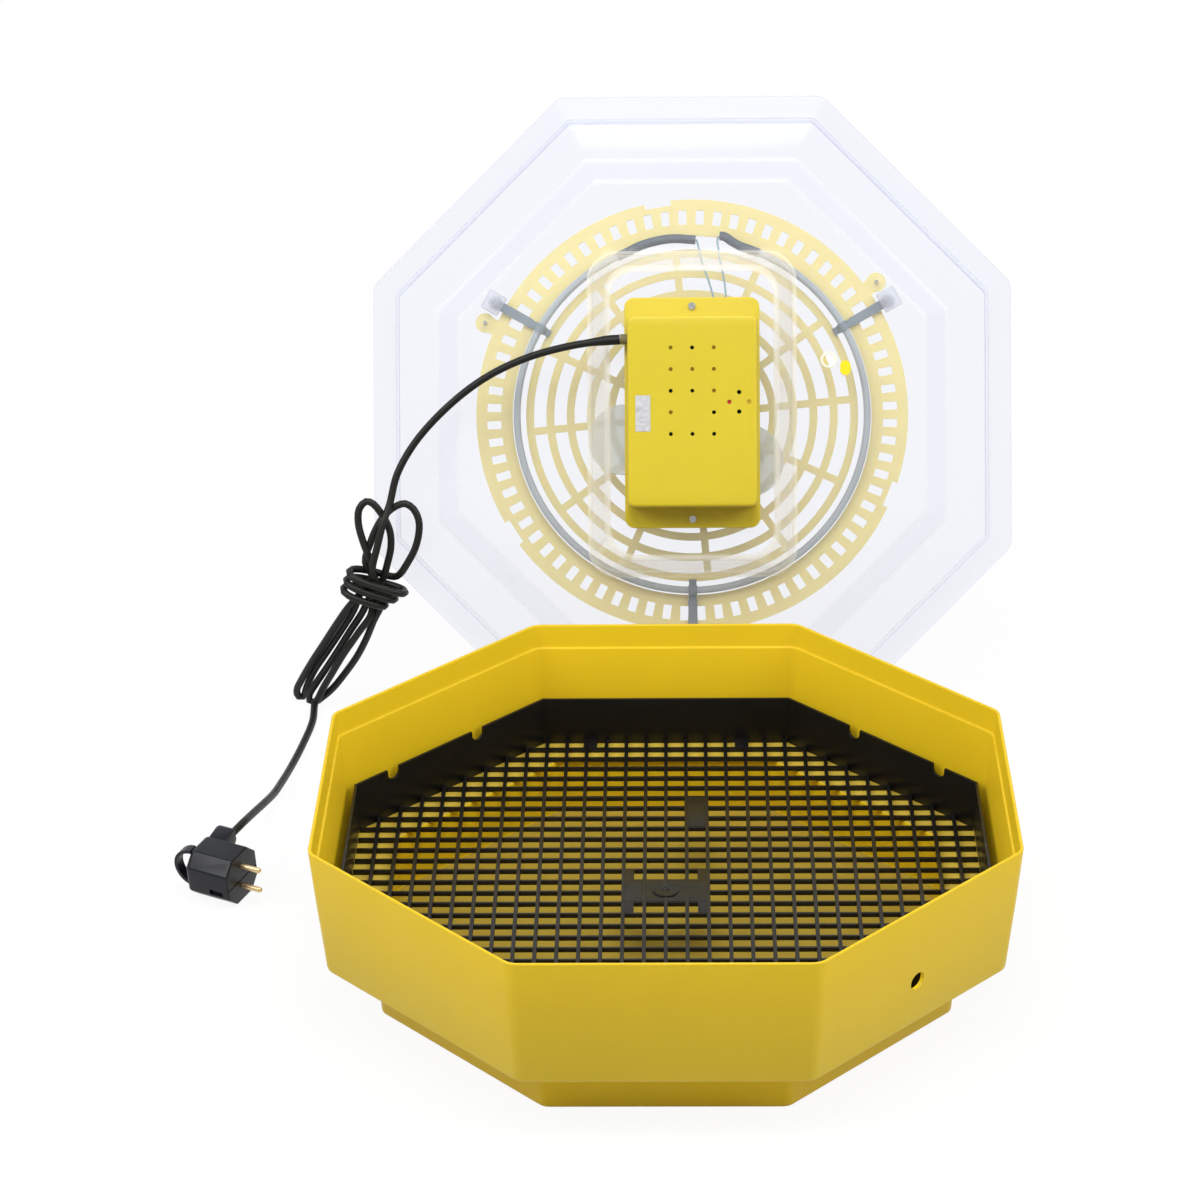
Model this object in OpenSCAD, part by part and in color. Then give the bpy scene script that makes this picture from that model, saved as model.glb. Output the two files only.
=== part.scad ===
// Household egg incubator: an octagonal tub with a lift-out egg tray, and a clear lid that
// carries the thermostat box, the fan, the ring heater and their guard. The lid is off and
// stands behind the tub. The mains cord is tied in a hank, and its plug lies on the floor.
//
// Frame: origin on the floor under the centre of the tub, +X right, +Y back, +Z up.

/* [Tub] */
// Width of the tub's rim across its flats
rim_w = 560; // [500:2:640]
// Height of the rim above the floor
tub_h = 162; // [150:1:190]
// Width across flats where the tapered wall ends
wall_low_w = 542; // [520:2:550]
// Height of the shoulder between the wall and the plinth
shoulder_z = 50; // [40:1:60]
// Width of the plinth across its flats
plinth_w = 464; // [420:2:490]
// Thickness of the tub's floor and rim
tub_t = 2.5; // [2:0.1:3.5]
// Depth of the inner step below the rim
step_depth = 21; // [15:1:30]
// Bore for the egg-turning rod, in the front right wall
rod_bore_d = 15; // [10:0.5:20]
// Height of the rod bore above the floor
rod_bore_z = 92; // [70:1:110]

/* [Egg tray] */
// Width of the tray across its flats
tray_w = 527; // [490:1:532]
// Height of the tray's wall
tray_h = 44; // [30:1:60]
// Spacing of the floor bars, both ways
bar_pitch = 17.5; // [12:0.5:20]
// Width of the floor bars that run front to back
bar_w = 3.2; // [2:0.1:5]
// Thickness of the tray's floor
bar_t = 4.6; // [2:0.1:5]

/* [Lid] */
// Width of the lid across its flats
lid_w = 588; // [574:2:620]
// How far the standing lid leans back from upright
lid_lean = 26; // [20:1:32]
// Place of the lid's lower edge: to the right of the tub's centre
lid_x = 25; // [0:1:40]
// Place of the lid's lower edge: behind the tub's centre
lid_y = 375; // [350:1:400]
// Thickness of the lid's sheet
lid_t = 2.5; // [2:0.1:3.5]
// Height of the lid's outer terrace above the underside of its flange
terrace_n = 18; // [14:1:22]
// Height of the lid's middle panel
panel_n = 32; // [28:1:34]
// Height of the long dome that the thermostat box sits on
dome_n = 56; // [52:1:60]

/* [Thermostat box] */
// Width of the box at its flange
box_w = 122.6; // [110:0.2:130]
// Length of the box at its flange
box_l = 209; // [200:1:216]
// Height of the box above the dome
box_h = 36; // [32:1:44]

/* [Heater and fan guard] */
// Radius of the guard's slotted rim
guard_r = 199; // [190:1:204]
// Radius of the ring heater, to the middle of its tube
heater_r = 161; // [158:0.5:163]
// Diameter of the heater's tube
heater_d = 6.5; // [5:0.1:8]
// Radius of the fan
fan_r = 100; // [80:1:110]
// Diameter of the fan's shaft
shaft_d = 4; // [3:0.1:5]

/* [Mains cord] */
// Outer diameter of the cord
cord_d = 6.8; // [5:0.1:8]
// Spacing of the plug's pins
pin_gap = 19; // [18:0.5:20]

/* [Hidden] */
$fn = 48;

eps = 0.01;
oct = 1 / cos(22.5);            // corner radius of an octagon over half its width
rim = rim_w / 2;
wall_low = wall_low_w / 2;
plinth = plinth_w / 2;
tray = tray_w / 2;
tray_z = shoulder_z + tub_t + 0.4;
tray_t = 2.5;
cross_bar_w = 2.6;
boss_r = 10.5;                  // round boss in the middle of the floor, with a blind hole
notch_w = 13;
notch_depth = 10;
bar_count = floor((tray - tray_t) / bar_pitch);

lid = lid_w / 2;
lip = 273.5;                    // half width of the lip that drops inside the tub's rim
lip_depth = 16;
slope_out = 234;                // half widths where the slope to the middle panel ends
slope_in = 214;
dome_low = [95, 148.5];         // half sizes of the dome at its foot and at its top
dome_top = [78, 133];
panel_under = panel_n - lid_t;
dome_under = dome_n - lid_t;
lead_hole = [26, 84];
sensor_at = [-26, 78];
sensor_d = 5;
vent_at = [125, 49];
vent_hole_d = 11;
plug_at = [140, 41.5];
plug_hole_d = 7;
motor_screw_v = 26;
motor_screw_d = 3;

base_t = 2.5;
flange_t = 2.5;
cover_t = 2.2;
base_n = dome_n + base_t;
face_n = dome_n + box_h;
face_half = [58.4, 86];
box_screw_v = 96.6;
gland_v = 66;
gland_n = 72;
gland_d = 9.4;
gland_l = 6.6;
board_n = base_n + 6;
board_t = 1.6;
blind_holes = [[-1, 0], [1, 0], [-1, 1], [0, 1], [1, 1], [1, 2], [-1, 3]];
led_at = [42, 8];
led_step = 8.8;
led_d = 3.6;

guard_n = 3;                    // underside of the guard
guard_t = 3;
guard_top = guard_n + guard_t;
ring_in = 165.5;
grille_r = 153;
grille_pitch = 18.7;
grille_bar = 7.2;
spoke_turn = 5.5;
slot_count = 72;
slot_in = 176;
slot_out = 189;
notch_angles = [99, 213, 338];
arm_angles = [30, 150, 270];
arm_t = 4;
arm_top = guard_top + arm_t;
spacer_r = 208;
ear_turn = 5.6;                 // the guard's ears sit beside its arms
ear_r = 209;
heater_n = arm_top + heater_d / 2 + 0.2;
heater_gap = 19;                // half angle of the heater's gap, at its top
heater_end_a = [cos(93 + heater_gap), sin(93 + heater_gap)] * heater_r;
heater_end_b = [cos(93 - heater_gap), sin(93 - heater_gap)] * heater_r;
sleeve_inner_a = [4, 161];
sleeve_inner_b = [27, 164];
lead_a = [
    [4.95, 161, heater_n], [6.6, 154, 17], [10, 138, 27], [16, 120, 38], [20, 105, 44],
    [23.5, 92, 48], [24, 84, 51]
];
lead_b = [
    [26.1, 164.5, heater_n], [24, 161, heater_n], [24.6, 154, 17], [27, 138, 27], [30, 120, 38],
    [31, 105, 44], [28.5, 92, 48], [28, 84, 51]
];

motor_d = 38;
motor_l = 20;
motor_n = dome_under - 2 - motor_l;
hub_d = 30;
hub_n = 12;
hub_l = 14;
blade_angles = [80, 200, 320];
blade_n = 19;

cord_r = cord_d / 2;
plug_half = 22.5;               // half width across the plug's wide flats
plug_flat = 11.5;               // half length of those flats, between the chamfers
plug_l = 42;
plug_place = [-378.5, 91, 24];
plug_turn = -27;
plug_roll = 6;
neck_x = -19;                   // back end of the neck, and its length along the plug
neck_l = 18;
loop_out = 18.5;
loop_in = 15.5;
loop_at = [-8, 3.5];            // the strap's middle on the plug's back face
pin_start = plug_l / 2;         // where the pins leave the plug's face

// Routes of the cord's free stretches, chosen by hand
upper_route = [
    [-40.3, 468, 355], [-54, 468, 354], [-90, 468, 348], [-128, 469, 336], [-165, 468, 317],
    [-200, 463, 290], [-229, 455, 259], [-245, 444, 233], [-252, 434, 208]
];
tail_route = [
    [-329, 424, 9], [-329, 395, 5], [-335, 345, 4], [-341, 302, 6], [-345, 262, 13],
    [-348, 228, 21], [-353, 190, 32], [-358, 158, 41], [-364, 130, 47], [-370.5, 116.6, 45.7]
];
// Middles of the tied hank's foot on the floor, of its binding and of its two top loops
hank_foot = [-332, 436, 12.1];
hank_tie = [-266, 418, 126];
hank_loops = [[-272, 432, 200], [-252, 432, 200], [-237, 432, 190]];

// ---------- shared shapes ----------

// A rounded octagon or box lofted through levels of [height, half width, half length]
module loft(levels, r, octagon = true)
    hull()
        for (level = levels)
            translate([0, 0, level[0]])
                for (at = loft_corners(level, r, octagon))
                    translate(at)
                        cylinder(h = eps, r = r, $fn = 32);

function loft_corners(level, r, octagon) =
    octagon
        ? [for (k = [0:7]) (level[1] - r) * oct * [cos(22.5 + 45 * k), sin(22.5 + 45 * k), 0]]
        : [for (x = [-1, 1], y = [-1, 1]) [x * (level[1] - r), y * (level[2] - r), 0]];

// A straight or tapered eight-sided block between two half widths
module eight_sided(half_low, half_high, h)
    rotate([0, 0, 22.5])
        cylinder(h = h, r1 = half_low * oct, r2 = half_high * oct, $fn = 8);

module octagon(half)
    rotate([0, 0, 22.5])
        circle(r = half * oct, $fn = 8);

module rounded_rect(w, l, r) {
    square([w - 2 * r, l], center = true);
    square([w, l - 2 * r], center = true);
    for (x = [-1, 1], y = [-1, 1])
        translate([x * (w / 2 - r), y * (l / 2 - r)])
            circle(r = r);
}

// Repeats its children round the lid's axis, turned to each angle and moved out to a radius
module around(angles, radius)
    for (a = angles)
        rotate([0, 0, a])
            translate([radius, 0, 0])
                children();

// The standing lid's own frame: middle of the lid, +Y up its slope, +Z out of its face
module on_lid()
    translate([lid_x, lid_y, 0])
        rotate([90 - lid_lean, 0, 0])
            translate([0, lid, 0])
                children();

// A countersunk-free pan screw, its shank along -Z below the head
module pan_screw(d, length, head_d, head_h) {
    difference() {
        cylinder(h = head_h, d = head_d);
        for (turn = [0, 90])
            rotate([0, 0, turn])
                translate([0, 0, head_h])
                    cube([head_d * 0.6, 0.8, head_h], center = true);
    }
    translate([0, 0, -length])
        cylinder(h = length + eps, d = d);
}

// Smooth curve through the points of a route, with a few steps between each two
function spline_point(a, b, c, d, t) =
    0.5 * (2 * b + (c - a) * t + (2 * a - 5 * b + 4 * c - d) * t * t
        + (3 * b - a - 3 * c + d) * t * t * t);
function smooth_route(pts, steps = 3) =
    let (last = len(pts) - 1)
    concat(
        [for (i = [0:last - 1], k = [0:steps - 1])
            spline_point(pts[max(i - 1, 0)], pts[i], pts[i + 1], pts[min(i + 2, last)], k / steps)],
        [pts[last]]
    );
function unit(v) = v / norm(v);
function along(path, i) = unit(path[min(i + 1, len(path) - 1)] - path[max(i - 1, 0)]);

// A round tube along a route; `side` is never parallel to the route
module tube(route, r, side, sides = 10) {
    path = smooth_route(route);
    rings = len(path);
    points = [
        for (i = [0:rings - 1])
            let (t = along(path, i), u = unit(cross(t, side)), w = cross(t, u))
            for (k = [0:sides - 1])
                path[i] + r * (cos(360 * k / sides) * u + sin(360 * k / sides) * w)
    ];
    walls = [
        for (i = [0:rings - 2], k = [0:sides - 1])
            [i * sides + k, i * sides + (k + 1) % sides,
             (i + 1) * sides + (k + 1) % sides, (i + 1) * sides + k]
    ];
    first = [for (k = [0:sides - 1]) sides - 1 - k];
    last = [for (k = [0:sides - 1]) (rings - 1) * sides + k];
    polyhedron(points = points, faces = concat(walls, [first, last]), convexity = 6);
}

// ---------- tub ----------

// The tub's wall, with its inner step, its rod bore and the shoulder it stands on
module tub_wall()
    color("gold")
        difference() {
            loft([[shoulder_z, wall_low - 3], [shoulder_z + 3, wall_low], [tub_h - eps, rim]], 12);
            translate([0, 0, tub_h - step_depth])
                eight_sided(rim - tub_t - 1.5, rim - tub_t, step_depth + eps);
            translate([0, 0, shoulder_z + tub_t])
                eight_sided(
                    wall_low - tub_t - 1, rim - tub_t - 3,
                    tub_h - step_depth - shoulder_z - tub_t + eps
                );
            translate([0, 0, shoulder_z - 1])
                eight_sided(plinth - tub_t, plinth - tub_t, tub_t + 2);
            rotate([0, 0, -45])
                translate([rim - 25, 0, rod_bore_z])
                    rotate([0, 90, 0])
                        cylinder(h = 40, d = rod_bore_d);
        }

// The tub's plinth, an open basin that holds the water under the tray
module tub_plinth()
    color("goldenrod")
        difference() {
            loft([[0, plinth - 4], [3, plinth - 1], [shoulder_z - eps, plinth]], 10);
            translate([0, 0, tub_t])
                eight_sided(plinth - 2 - tub_t, plinth - tub_t, shoulder_z);
        }

// ---------- egg tray ----------

module tray_wall()
    color([0.07, 0.07, 0.07])
        translate([0, 0, tray_z])
            difference() {
                linear_extrude(tray_h)
                    difference() {
                        octagon(tray);
                        octagon(tray - tray_t);
                    }
                for (turn = [45, 225], side = [-67, 30])
                    rotate([0, 0, turn])
                        rod_notch(side);
                for (turn = [135, 315], side = [67, -30])
                    rotate([0, 0, turn])
                        rod_notch(side);
            }

// A round-bottomed notch cut down from the top of the tray's wall, `side` off its middle
module rod_notch(side)
    translate([tray - 5, side, tray_h - notch_depth + notch_w / 2]) {
        translate([0, -notch_w / 2, 0])
            cube([10, notch_w, notch_w]);
        rotate([0, 90, 0])
            cylinder(h = 10, d = notch_w);
    }

module tray_grid()
    color([0.1, 0.1, 0.1])
        translate([0, 0, tray_z])
            difference() {
                union() {
                    linear_extrude(bar_t)
                        grid_outline();
                    cylinder(h = bar_t + 0.6, r = boss_r);
                }
                translate([0, 0, 2])
                    cylinder(h = bar_t, d = boss_r / 2);
            }

module grid_outline()
    intersection() {
        octagon(tray - tray_t);
        union() {
            for (k = [-bar_count:bar_count]) {
                translate([k * bar_pitch - bar_w / 2, -tray])
                    square([bar_w, 2 * tray]);
                translate([-tray, k * bar_pitch - cross_bar_w / 2])
                    square([2 * tray, cross_bar_w]);
            }
            tray_pads();
            difference() {
                octagon(tray);
                octagon(tray - tray_t - 1.5);
            }
        }
    }

// Solid patches of the tray's floor
module tray_pads() {
    square([4 * bar_pitch, 2 * bar_pitch], center = true);
    for (side = [-1, 1])
        translate([side * 1.75 * bar_pitch, 0])
            square([bar_pitch / 2, 4 * bar_pitch], center = true);
    translate([1.5 * bar_pitch, 7.5 * bar_pitch])
        square([bar_pitch, 3 * bar_pitch], center = true);
    for (side = [-1, 1])
        translate([side * 67, 14.5 * bar_pitch])
            square([12, bar_pitch], center = true);
}

// ---------- lid ----------

module lid_solid() {
    loft([[0, lid], [lid_t, lid]], 14);
    eight_sided(lip, lip, eps);
    translate([0, 0, -lip_depth])
        eight_sided(lip, lip, lip_depth);
    eight_sided(lip, lip - 1.5, terrace_n);
    translate([0, 0, terrace_n - eps])
        eight_sided(slope_out, slope_in, panel_n - terrace_n);
    loft(
        [[panel_n - 1, dome_low[0], dome_low[1]], [dome_n - eps, dome_top[0], dome_top[1]]],
        26, false
    );
}

module lid_hollow() {
    translate([0, 0, -lip_depth - eps])
        eight_sided(lip - lid_t, lip - lid_t - 1.5, lip_depth + terrace_n - lid_t);
    translate([0, 0, terrace_n - lid_t - 2 * eps])
        eight_sided(slope_out - 1.5, slope_in - 1.5, panel_n - terrace_n + 2 * eps);
    loft(
        [[panel_under - 1, dome_low[0] - lid_t, dome_low[1] - lid_t],
         [dome_under, dome_top[0] - lid_t, dome_top[1] - lid_t]],
        24, false
    );
}

module lid_shell()
    color([0.85, 0.87, 0.95, 0.4])
        on_lid()
            difference() {
                lid_solid();
                difference() {
                    lid_hollow();
                    around(arm_angles, 0)
                        rotate([0, 0, ear_turn])
                            translate([ear_r, 0, guard_top])
                                cylinder(h = panel_n, d = 14);
                }
                translate([vent_at[0], vent_at[1], panel_under - 1])
                    cylinder(h = 10, d = vent_hole_d);
                translate([plug_at[0], plug_at[1], panel_under - 1])
                    cylinder(h = 10, d = plug_hole_d);
                translate([lead_hole[0], lead_hole[1], dome_under - 1])
                    cylinder(h = 10, d = 10);
                translate([sensor_at[0], sensor_at[1], dome_under - 1])
                    cylinder(h = 10, d = sensor_d);
                for (side = [-1, 1])
                    translate([0, side * motor_screw_v, dome_under - 1])
                        cylinder(h = 10, d = motor_screw_d);
                around([for (a = arm_angles) a + ear_turn], ear_r)
                    translate([0, 0, guard_n])
                        cylinder(h = 14, d = 2.9);
            }

// Collar round the open vent hole
module vent_ring()
    color("ivory")
        on_lid()
            translate([vent_at[0], vent_at[1], panel_n])
                difference() {
                    cylinder(h = 2, d = vent_hole_d + 4);
                    translate([0, 0, -1])
                        cylinder(h = 4, d = vent_hole_d);
                }

// Stopper of the second vent hole: an oval head on a round shank
module vent_plug()
    color([1, 0.85, 0])
        on_lid()
            translate([plug_at[0], plug_at[1], 0]) {
                translate([0, 0, panel_n])
                    linear_extrude(3.5)
                        for (side = [-1, 1])
                            translate([0, side * 1.9])
                                circle(d = 9.6);
                translate([0, 0, panel_under - 2])
                    cylinder(h = lid_t + 2 + eps, d = plug_hole_d - 0.1);
            }

// ---------- thermostat box ----------

module box_base()
    color([0.12, 0.12, 0.13])
        on_lid()
            translate([0, 0, dome_n])
                difference() {
                    linear_extrude(base_t)
                        rounded_rect(box_w, box_l, 9);
                    for (side = [-1, 1])
                        translate([0, side * box_screw_v, -1])
                            cylinder(h = base_t + 2, d = 3);
                    for (side = [-1, 1])
                        translate([0, side * motor_screw_v, -1])
                            cylinder(h = base_t + 2, d = motor_screw_d);
                    translate([lead_hole[0], lead_hole[1], -1])
                        cylinder(h = base_t + 2, d = 9);
                    translate([sensor_at[0], sensor_at[1], -1])
                        cylinder(h = base_t + 2, d = sensor_d);
                }

module box_cover()
    color([1, 0.88, 0.1])
        on_lid()
            difference() {
                union() {
                    translate([0, 0, base_n])
                        linear_extrude(flange_t)
                            rounded_rect(box_w, box_l, 9);
                    translate([0, 0, base_n])
                        linear_extrude(face_n - base_n)
                            rounded_rect(2 * face_half[0], 2 * face_half[1], 4);
                }
                translate([0, 0, base_n - 1])
                    linear_extrude(face_n - base_n + 1 - cover_t)
                        rounded_rect(2 * (face_half[0] - cover_t), 2 * (face_half[1] - cover_t), 2);
                for (side = [-1, 1])
                    translate([0, side * box_screw_v, base_n - 1])
                        cylinder(h = flange_t + 2, d = 3.4);
                cover_holes();
                translate([-face_half[0] - 3, gland_v, gland_n])
                    rotate([0, 90, 0])
                        cylinder(h = 10, d = gland_d - 2);
            }

// Ventilation holes, some of them blind, with the middle of the fourth row left out, and the
// four lamp holes
module cover_holes() {
    for (col = [-1:1], row = [0:4])
        if (!(col == 0 && row == 3))
            translate([col * 19.4, 57 - row * 19.4, face_n - (is_blind([col, row]) ? 0.9 : 5)])
                cylinder(h = 10, d = 3.6);
    for (turn = [0:90:270])
        translate([led_at[0], led_at[1], face_n - 5])
            rotate([0, 0, turn])
                translate([led_step, 0, 0])
                    cylinder(h = 10, d = led_d + 0.4);
}

function is_blind(hole) = len([for (b = blind_holes) if (b == hole) b]) > 0;

module box_screws()
    color("silver")
        on_lid()
            for (side = [-1, 1])
                translate([0, side * box_screw_v, base_n + flange_t])
                    pan_screw(2.9, base_t + flange_t - 0.1, 6.5, 2);

// Bare plate where a rating label would sit
module blank_plate()
    color([0.8, 0.8, 0.82])
        on_lid()
            translate([-44.5, -2, face_n])
                linear_extrude(0.3)
                    square([13.4, 32.4], center = true);

module cord_gland()
    color([0.55, 0.53, 0.3])
        on_lid()
            translate([-face_half[0] - gland_l, gland_v, gland_n])
                rotate([0, 90, 0]) {
                    cylinder(h = gland_l, d = gland_d);
                    cylinder(h = gland_l + cover_t + 1, d = gland_d - 2.1);
                }

module circuit_board()
    color("darkgreen")
        on_lid()
            translate([0, 0, board_n])
                difference() {
                    linear_extrude(board_t)
                        square([107, 150], center = true);
                    for (x = [-48, 48], y = [-70, 70])
                        translate([x, y, -1])
                            cylinder(h = board_t + 2, d = 3);
                }

module board_posts()
    color("white")
        on_lid()
            for (x = [-48, 48], y = [-70, 70])
                translate([x, y, base_n]) {
                    cylinder(h = board_n - base_n, d = 6);
                    cylinder(h = board_n - base_n + board_t + 2, d = 2.9);
                }

module transformer()
    color("dimgray")
        on_lid()
            translate([-18, -38, board_n + board_t])
                linear_extrude(20)
                    rounded_rect(38, 32, 2);

module relay()
    color("royalblue")
        on_lid()
            translate([22, -42, board_n + board_t])
                linear_extrude(15)
                    square([19, 15], center = true);

module terminal_block()
    color("seagreen")
        on_lid()
            translate([-22, 58, board_n + board_t])
                difference() {
                    linear_extrude(10)
                        square([26, 10], center = true);
                    for (x = [-9, -3, 3, 9])
                        translate([x, 0, 6])
                            cylinder(h = 5, d = 3.5);
                }

// A lamp on two wire legs, behind the lamp hole on one side
module lamp(side)
    on_lid()
        translate([led_at[0] + side * led_step, led_at[1], 0]) {
            translate([0, 0, face_n - 7])
                cylinder(h = 6, d = led_d);
            for (leg = [-1.2, 1.2])
                translate([leg, 0, board_n + board_t])
                    cylinder(h = face_n - 7 - board_n - board_t + eps, d = 0.6);
        }

module lamp_red()
    color("firebrick")
        lamp(-1);

module lamp_yellow()
    color("goldenrod")
        lamp(1);

// ---------- fan ----------

module motor_plate()
    color("silver")
        on_lid()
            translate([0, 0, dome_under - 2])
                difference() {
                    linear_extrude(2)
                        rounded_rect(24, 64, 5);
                    for (side = [-1, 1])
                        translate([0, side * motor_screw_v, -1])
                            cylinder(h = 4, d = motor_screw_d);
                }

module motor_screws()
    color("silver")
        on_lid()
            for (side = [-1, 1])
                translate([0, side * motor_screw_v, base_n])
                    pan_screw(motor_screw_d - 0.1, base_n - dome_under + 4, 5.6, 2);

module fan_motor()
    color("gray")
        on_lid()
            translate([0, 0, motor_n])
                difference() {
                    cylinder(h = motor_l, d = motor_d);
                    translate([0, 0, -1])
                        cylinder(h = motor_l - 2, d = 8);
                }

module shaft_bush()
    color("darkgoldenrod")
        on_lid()
            translate([0, 0, motor_n - 2])
                difference() {
                    cylinder(h = 10, d = 8);
                    translate([0, 0, -1])
                        cylinder(h = 12, d = shaft_d + 0.1);
                }

module fan_shaft()
    color("lightgray")
        on_lid()
            translate([0, 0, hub_n + 2])
                cylinder(h = motor_n + 12 - hub_n - 2, d = shaft_d);

module fan_wheel()
    color([0.93, 0.93, 0.9])
        on_lid() {
            difference() {
                union() {
                    translate([0, 0, hub_n])
                        cylinder(h = hub_l, d = hub_d);
                    around(blade_angles, 0)
                        translate([0, 0, blade_n])
                            rotate([14, 0, 0])
                                translate([0, 0, -0.9])
                                    linear_extrude(1.8)
                                        blade_outline();
                }
                translate([0, 0, hub_n + 2])
                    cylinder(h = hub_l, d = shaft_d);
            }
        }

// A round paddle with a neck that runs into the hub
module blade_outline() {
    translate([fan_r - 34, 0])
        circle(r = 33.5);
    translate([8, -12])
        square([40, 24]);
}

// ---------- guard ----------

module guard_ring()
    color([0.98, 0.86, 0.3])
        on_lid()
            translate([0, 0, guard_n])
                linear_extrude(guard_t)
                    difference() {
                        union() {
                            circle(r = guard_r, $fn = 180);
                            around([for (a = arm_angles) a + ear_turn], ear_r)
                                ear();
                        }
                        circle(r = ring_in, $fn = 180);
                        around([for (k = [0:slot_count - 1]) (k + 0.5) * 360 / slot_count], slot_in)
                            translate([0, -3.7])
                                square([slot_out - slot_in, 7.4]);
                        around(notch_angles, guard_r - 5)
                            translate([0, -12])
                                square([10, 24]);
                        around([for (a = arm_angles) a + ear_turn], ear_r)
                            circle(d = 3.2);
                    }

// A lobe with a neck back to the guard's rim
module ear() {
    circle(r = 9);
    translate([-14, -7])
        square([14, 14]);
}

module guard_grille()
    color([0.98, 0.86, 0.3])
        on_lid()
            translate([0, 0, guard_n])
                linear_extrude(guard_t) {
                    for (k = [0:6])
                        difference() {
                            circle(r = grille_r - k * grille_pitch, $fn = 120);
                            circle(r = grille_r - k * grille_pitch - grille_bar, $fn = 120);
                        }
                    circle(r = 24);
                    around([for (k = [0:11]) spoke_turn + 30 * k], 20)
                        translate([0, -3.4])
                            square([grille_r - 23, 6.8]);
                }

// Grey arms that tie the grille and the slotted ring together under the spacers
module guard_arms()
    color([0.35, 0.37, 0.38])
        on_lid()
            translate([0, 0, guard_top])
                linear_extrude(arm_t)
                    around(arm_angles, 0) {
                        translate([151, -3.4])
                            square([20, 6.8]);
                        translate([170, -4.2])
                            square([spacer_r - 170, 8.4]);
                        translate([spacer_r, 0])
                            circle(r = 4.2);
                    }

// Clear cones between the arms' outer ends and the lid's middle panel
module arm_spacers()
    color([0.85, 0.87, 0.9, 0.6])
        on_lid()
            around(arm_angles, spacer_r)
                translate([0, 0, arm_top])
                    cylinder(h = panel_under - arm_top, r1 = 7, r2 = 3);

module guard_screws()
    color("silver")
        on_lid()
            around([for (a = arm_angles) a + ear_turn], ear_r)
                translate([0, 0, guard_n])
                    mirror([0, 0, 1])
                        pan_screw(2.9, 12, 6, 2);

// ---------- heater ----------

module heater_ring()
    color([0.6, 0.62, 0.63])
        on_lid()
            heater_tube(heater_d);

module heater_tube(d)
    translate([0, 0, heater_n])
        rotate([0, 0, 93 + heater_gap])
            rotate_extrude(angle = 360 - 2 * heater_gap, $fn = 120)
                translate([heater_r, 0])
                    circle(d = d, $fn = 24);

// Saddles that hold the heater down on the arms
module heater_clips()
    color([0.5, 0.52, 0.53])
        on_lid()
            around(arm_angles, heater_r)
                translate([0, 4, arm_top])
                    rotate([90, 0, 0])
                        linear_extrude(8)
                            difference() {
                                union() {
                                    translate([0, heater_d / 2 + 0.2])
                                        circle(d = heater_d + 3);
                                    translate([-heater_d / 2 - 1.5, 0])
                                        square([heater_d + 3, heater_d / 2]);
                                }
                                translate([0, heater_d / 2 + 0.2])
                                    circle(d = heater_d + 0.2, $fn = 24);
                                translate([-heater_d, -heater_d])
                                    square([2 * heater_d, heater_d]);
                            }

// Dark sleeves over the ends of the heater, drawn in towards each other
module heater_sleeves()
    color([0.2, 0.22, 0.23])
        on_lid()
            difference() {
                union() {
                    rod_between(heater_end_a, sleeve_inner_a, 8);
                    rod_between(heater_end_b, sleeve_inner_b, 8);
                }
                heater_tube(heater_d + 0.1);
            }

// A straight round rod between two points of the lid's plane, at the heater's height
module rod_between(a, b, d)
    translate([a[0], a[1], heater_n])
        rotate([0, 0, atan2(b[1] - a[1], b[0] - a[0])])
            rotate([0, 90, 0])
                cylinder(h = norm(b - a), d = d);

// Thin leads from the sleeves to the grommet under the box
module heater_leads()
    color("lightblue")
        on_lid() {
            tube(lead_a, 0.9, [1, 0, 0], 8);
            tube(lead_b, 0.9, [1, 0, 0], 8);
        }

module wire_grommet()
    color("black")
        on_lid()
            translate([lead_hole[0], lead_hole[1], dome_under - 1.5])
                difference() {
                    union() {
                        cylinder(h = lid_t + 1.5, d = 9.9);
                        cylinder(h = 1.5, d = 13);
                    }
                    translate([0, 0, -1])
                        cylinder(h = 8, d = 6.4);
                }

// Probe that hangs from the box's base into the dome, above the fan
module temperature_sensor()
    color("silver")
        on_lid()
            translate([sensor_at[0], sensor_at[1], panel_n]) {
                cylinder(h = base_n - panel_n, d = sensor_d);
                translate([0, 0, base_n - panel_n])
                    cylinder(h = 2, d = sensor_d + 3);
            }

// ---------- mains cord ----------

module mains_cord()
    color([0.12, 0.12, 0.11])
        tube(upper_route, cord_r, [0, 1, 0]);

module cord_tail()
    color([0.12, 0.12, 0.11])
        tube(tail_route, cord_r, [1, 0, 0]);

// The tied bundle as one plain solid: a slim foot, the binding and the top loops
module cord_hank()
    color([0.12, 0.12, 0.11]) {
        hank_part(hank_foot, hank_tie, 12, 13);
        hank_part(hank_tie - [22, 0, 0], hank_tie + [20, 0, 0], 11, 11);
        for (top = hank_loops)
            hank_part(hank_tie, top, 9, 7.8);
    }

module hank_part(a, b, ra, rb)
    hull() {
        translate(a)
            sphere(r = ra, $fn = 24);
        translate(b)
            sphere(r = rb, $fn = 24);
    }

// The plug's own frame: middle of its body, +X along its pins, +Y back towards the cord
module on_plug()
    translate(plug_place)
        rotate([0, 0, plug_turn])
            rotate([plug_roll, 0, 0])
                children();

module plug_body()
    color([0.13, 0.13, 0.15])
        on_plug()
            difference() {
                union() {
                    translate([-plug_l / 2, 0, 0])
                        rotate([90, 0, 90])
                            linear_extrude(plug_l)
                                plug_section();
                    plug_neck();
                }
                // slots of the clip that holds the halves together
                translate([8, -plug_half, -7])
                    cube([13, 5, 5], center = true);
                translate([8, plug_half, 0])
                    cube([7, 3, 5], center = true);
                plug_pin_pair(pin_start - 8, 10, 4);
            }

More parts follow.
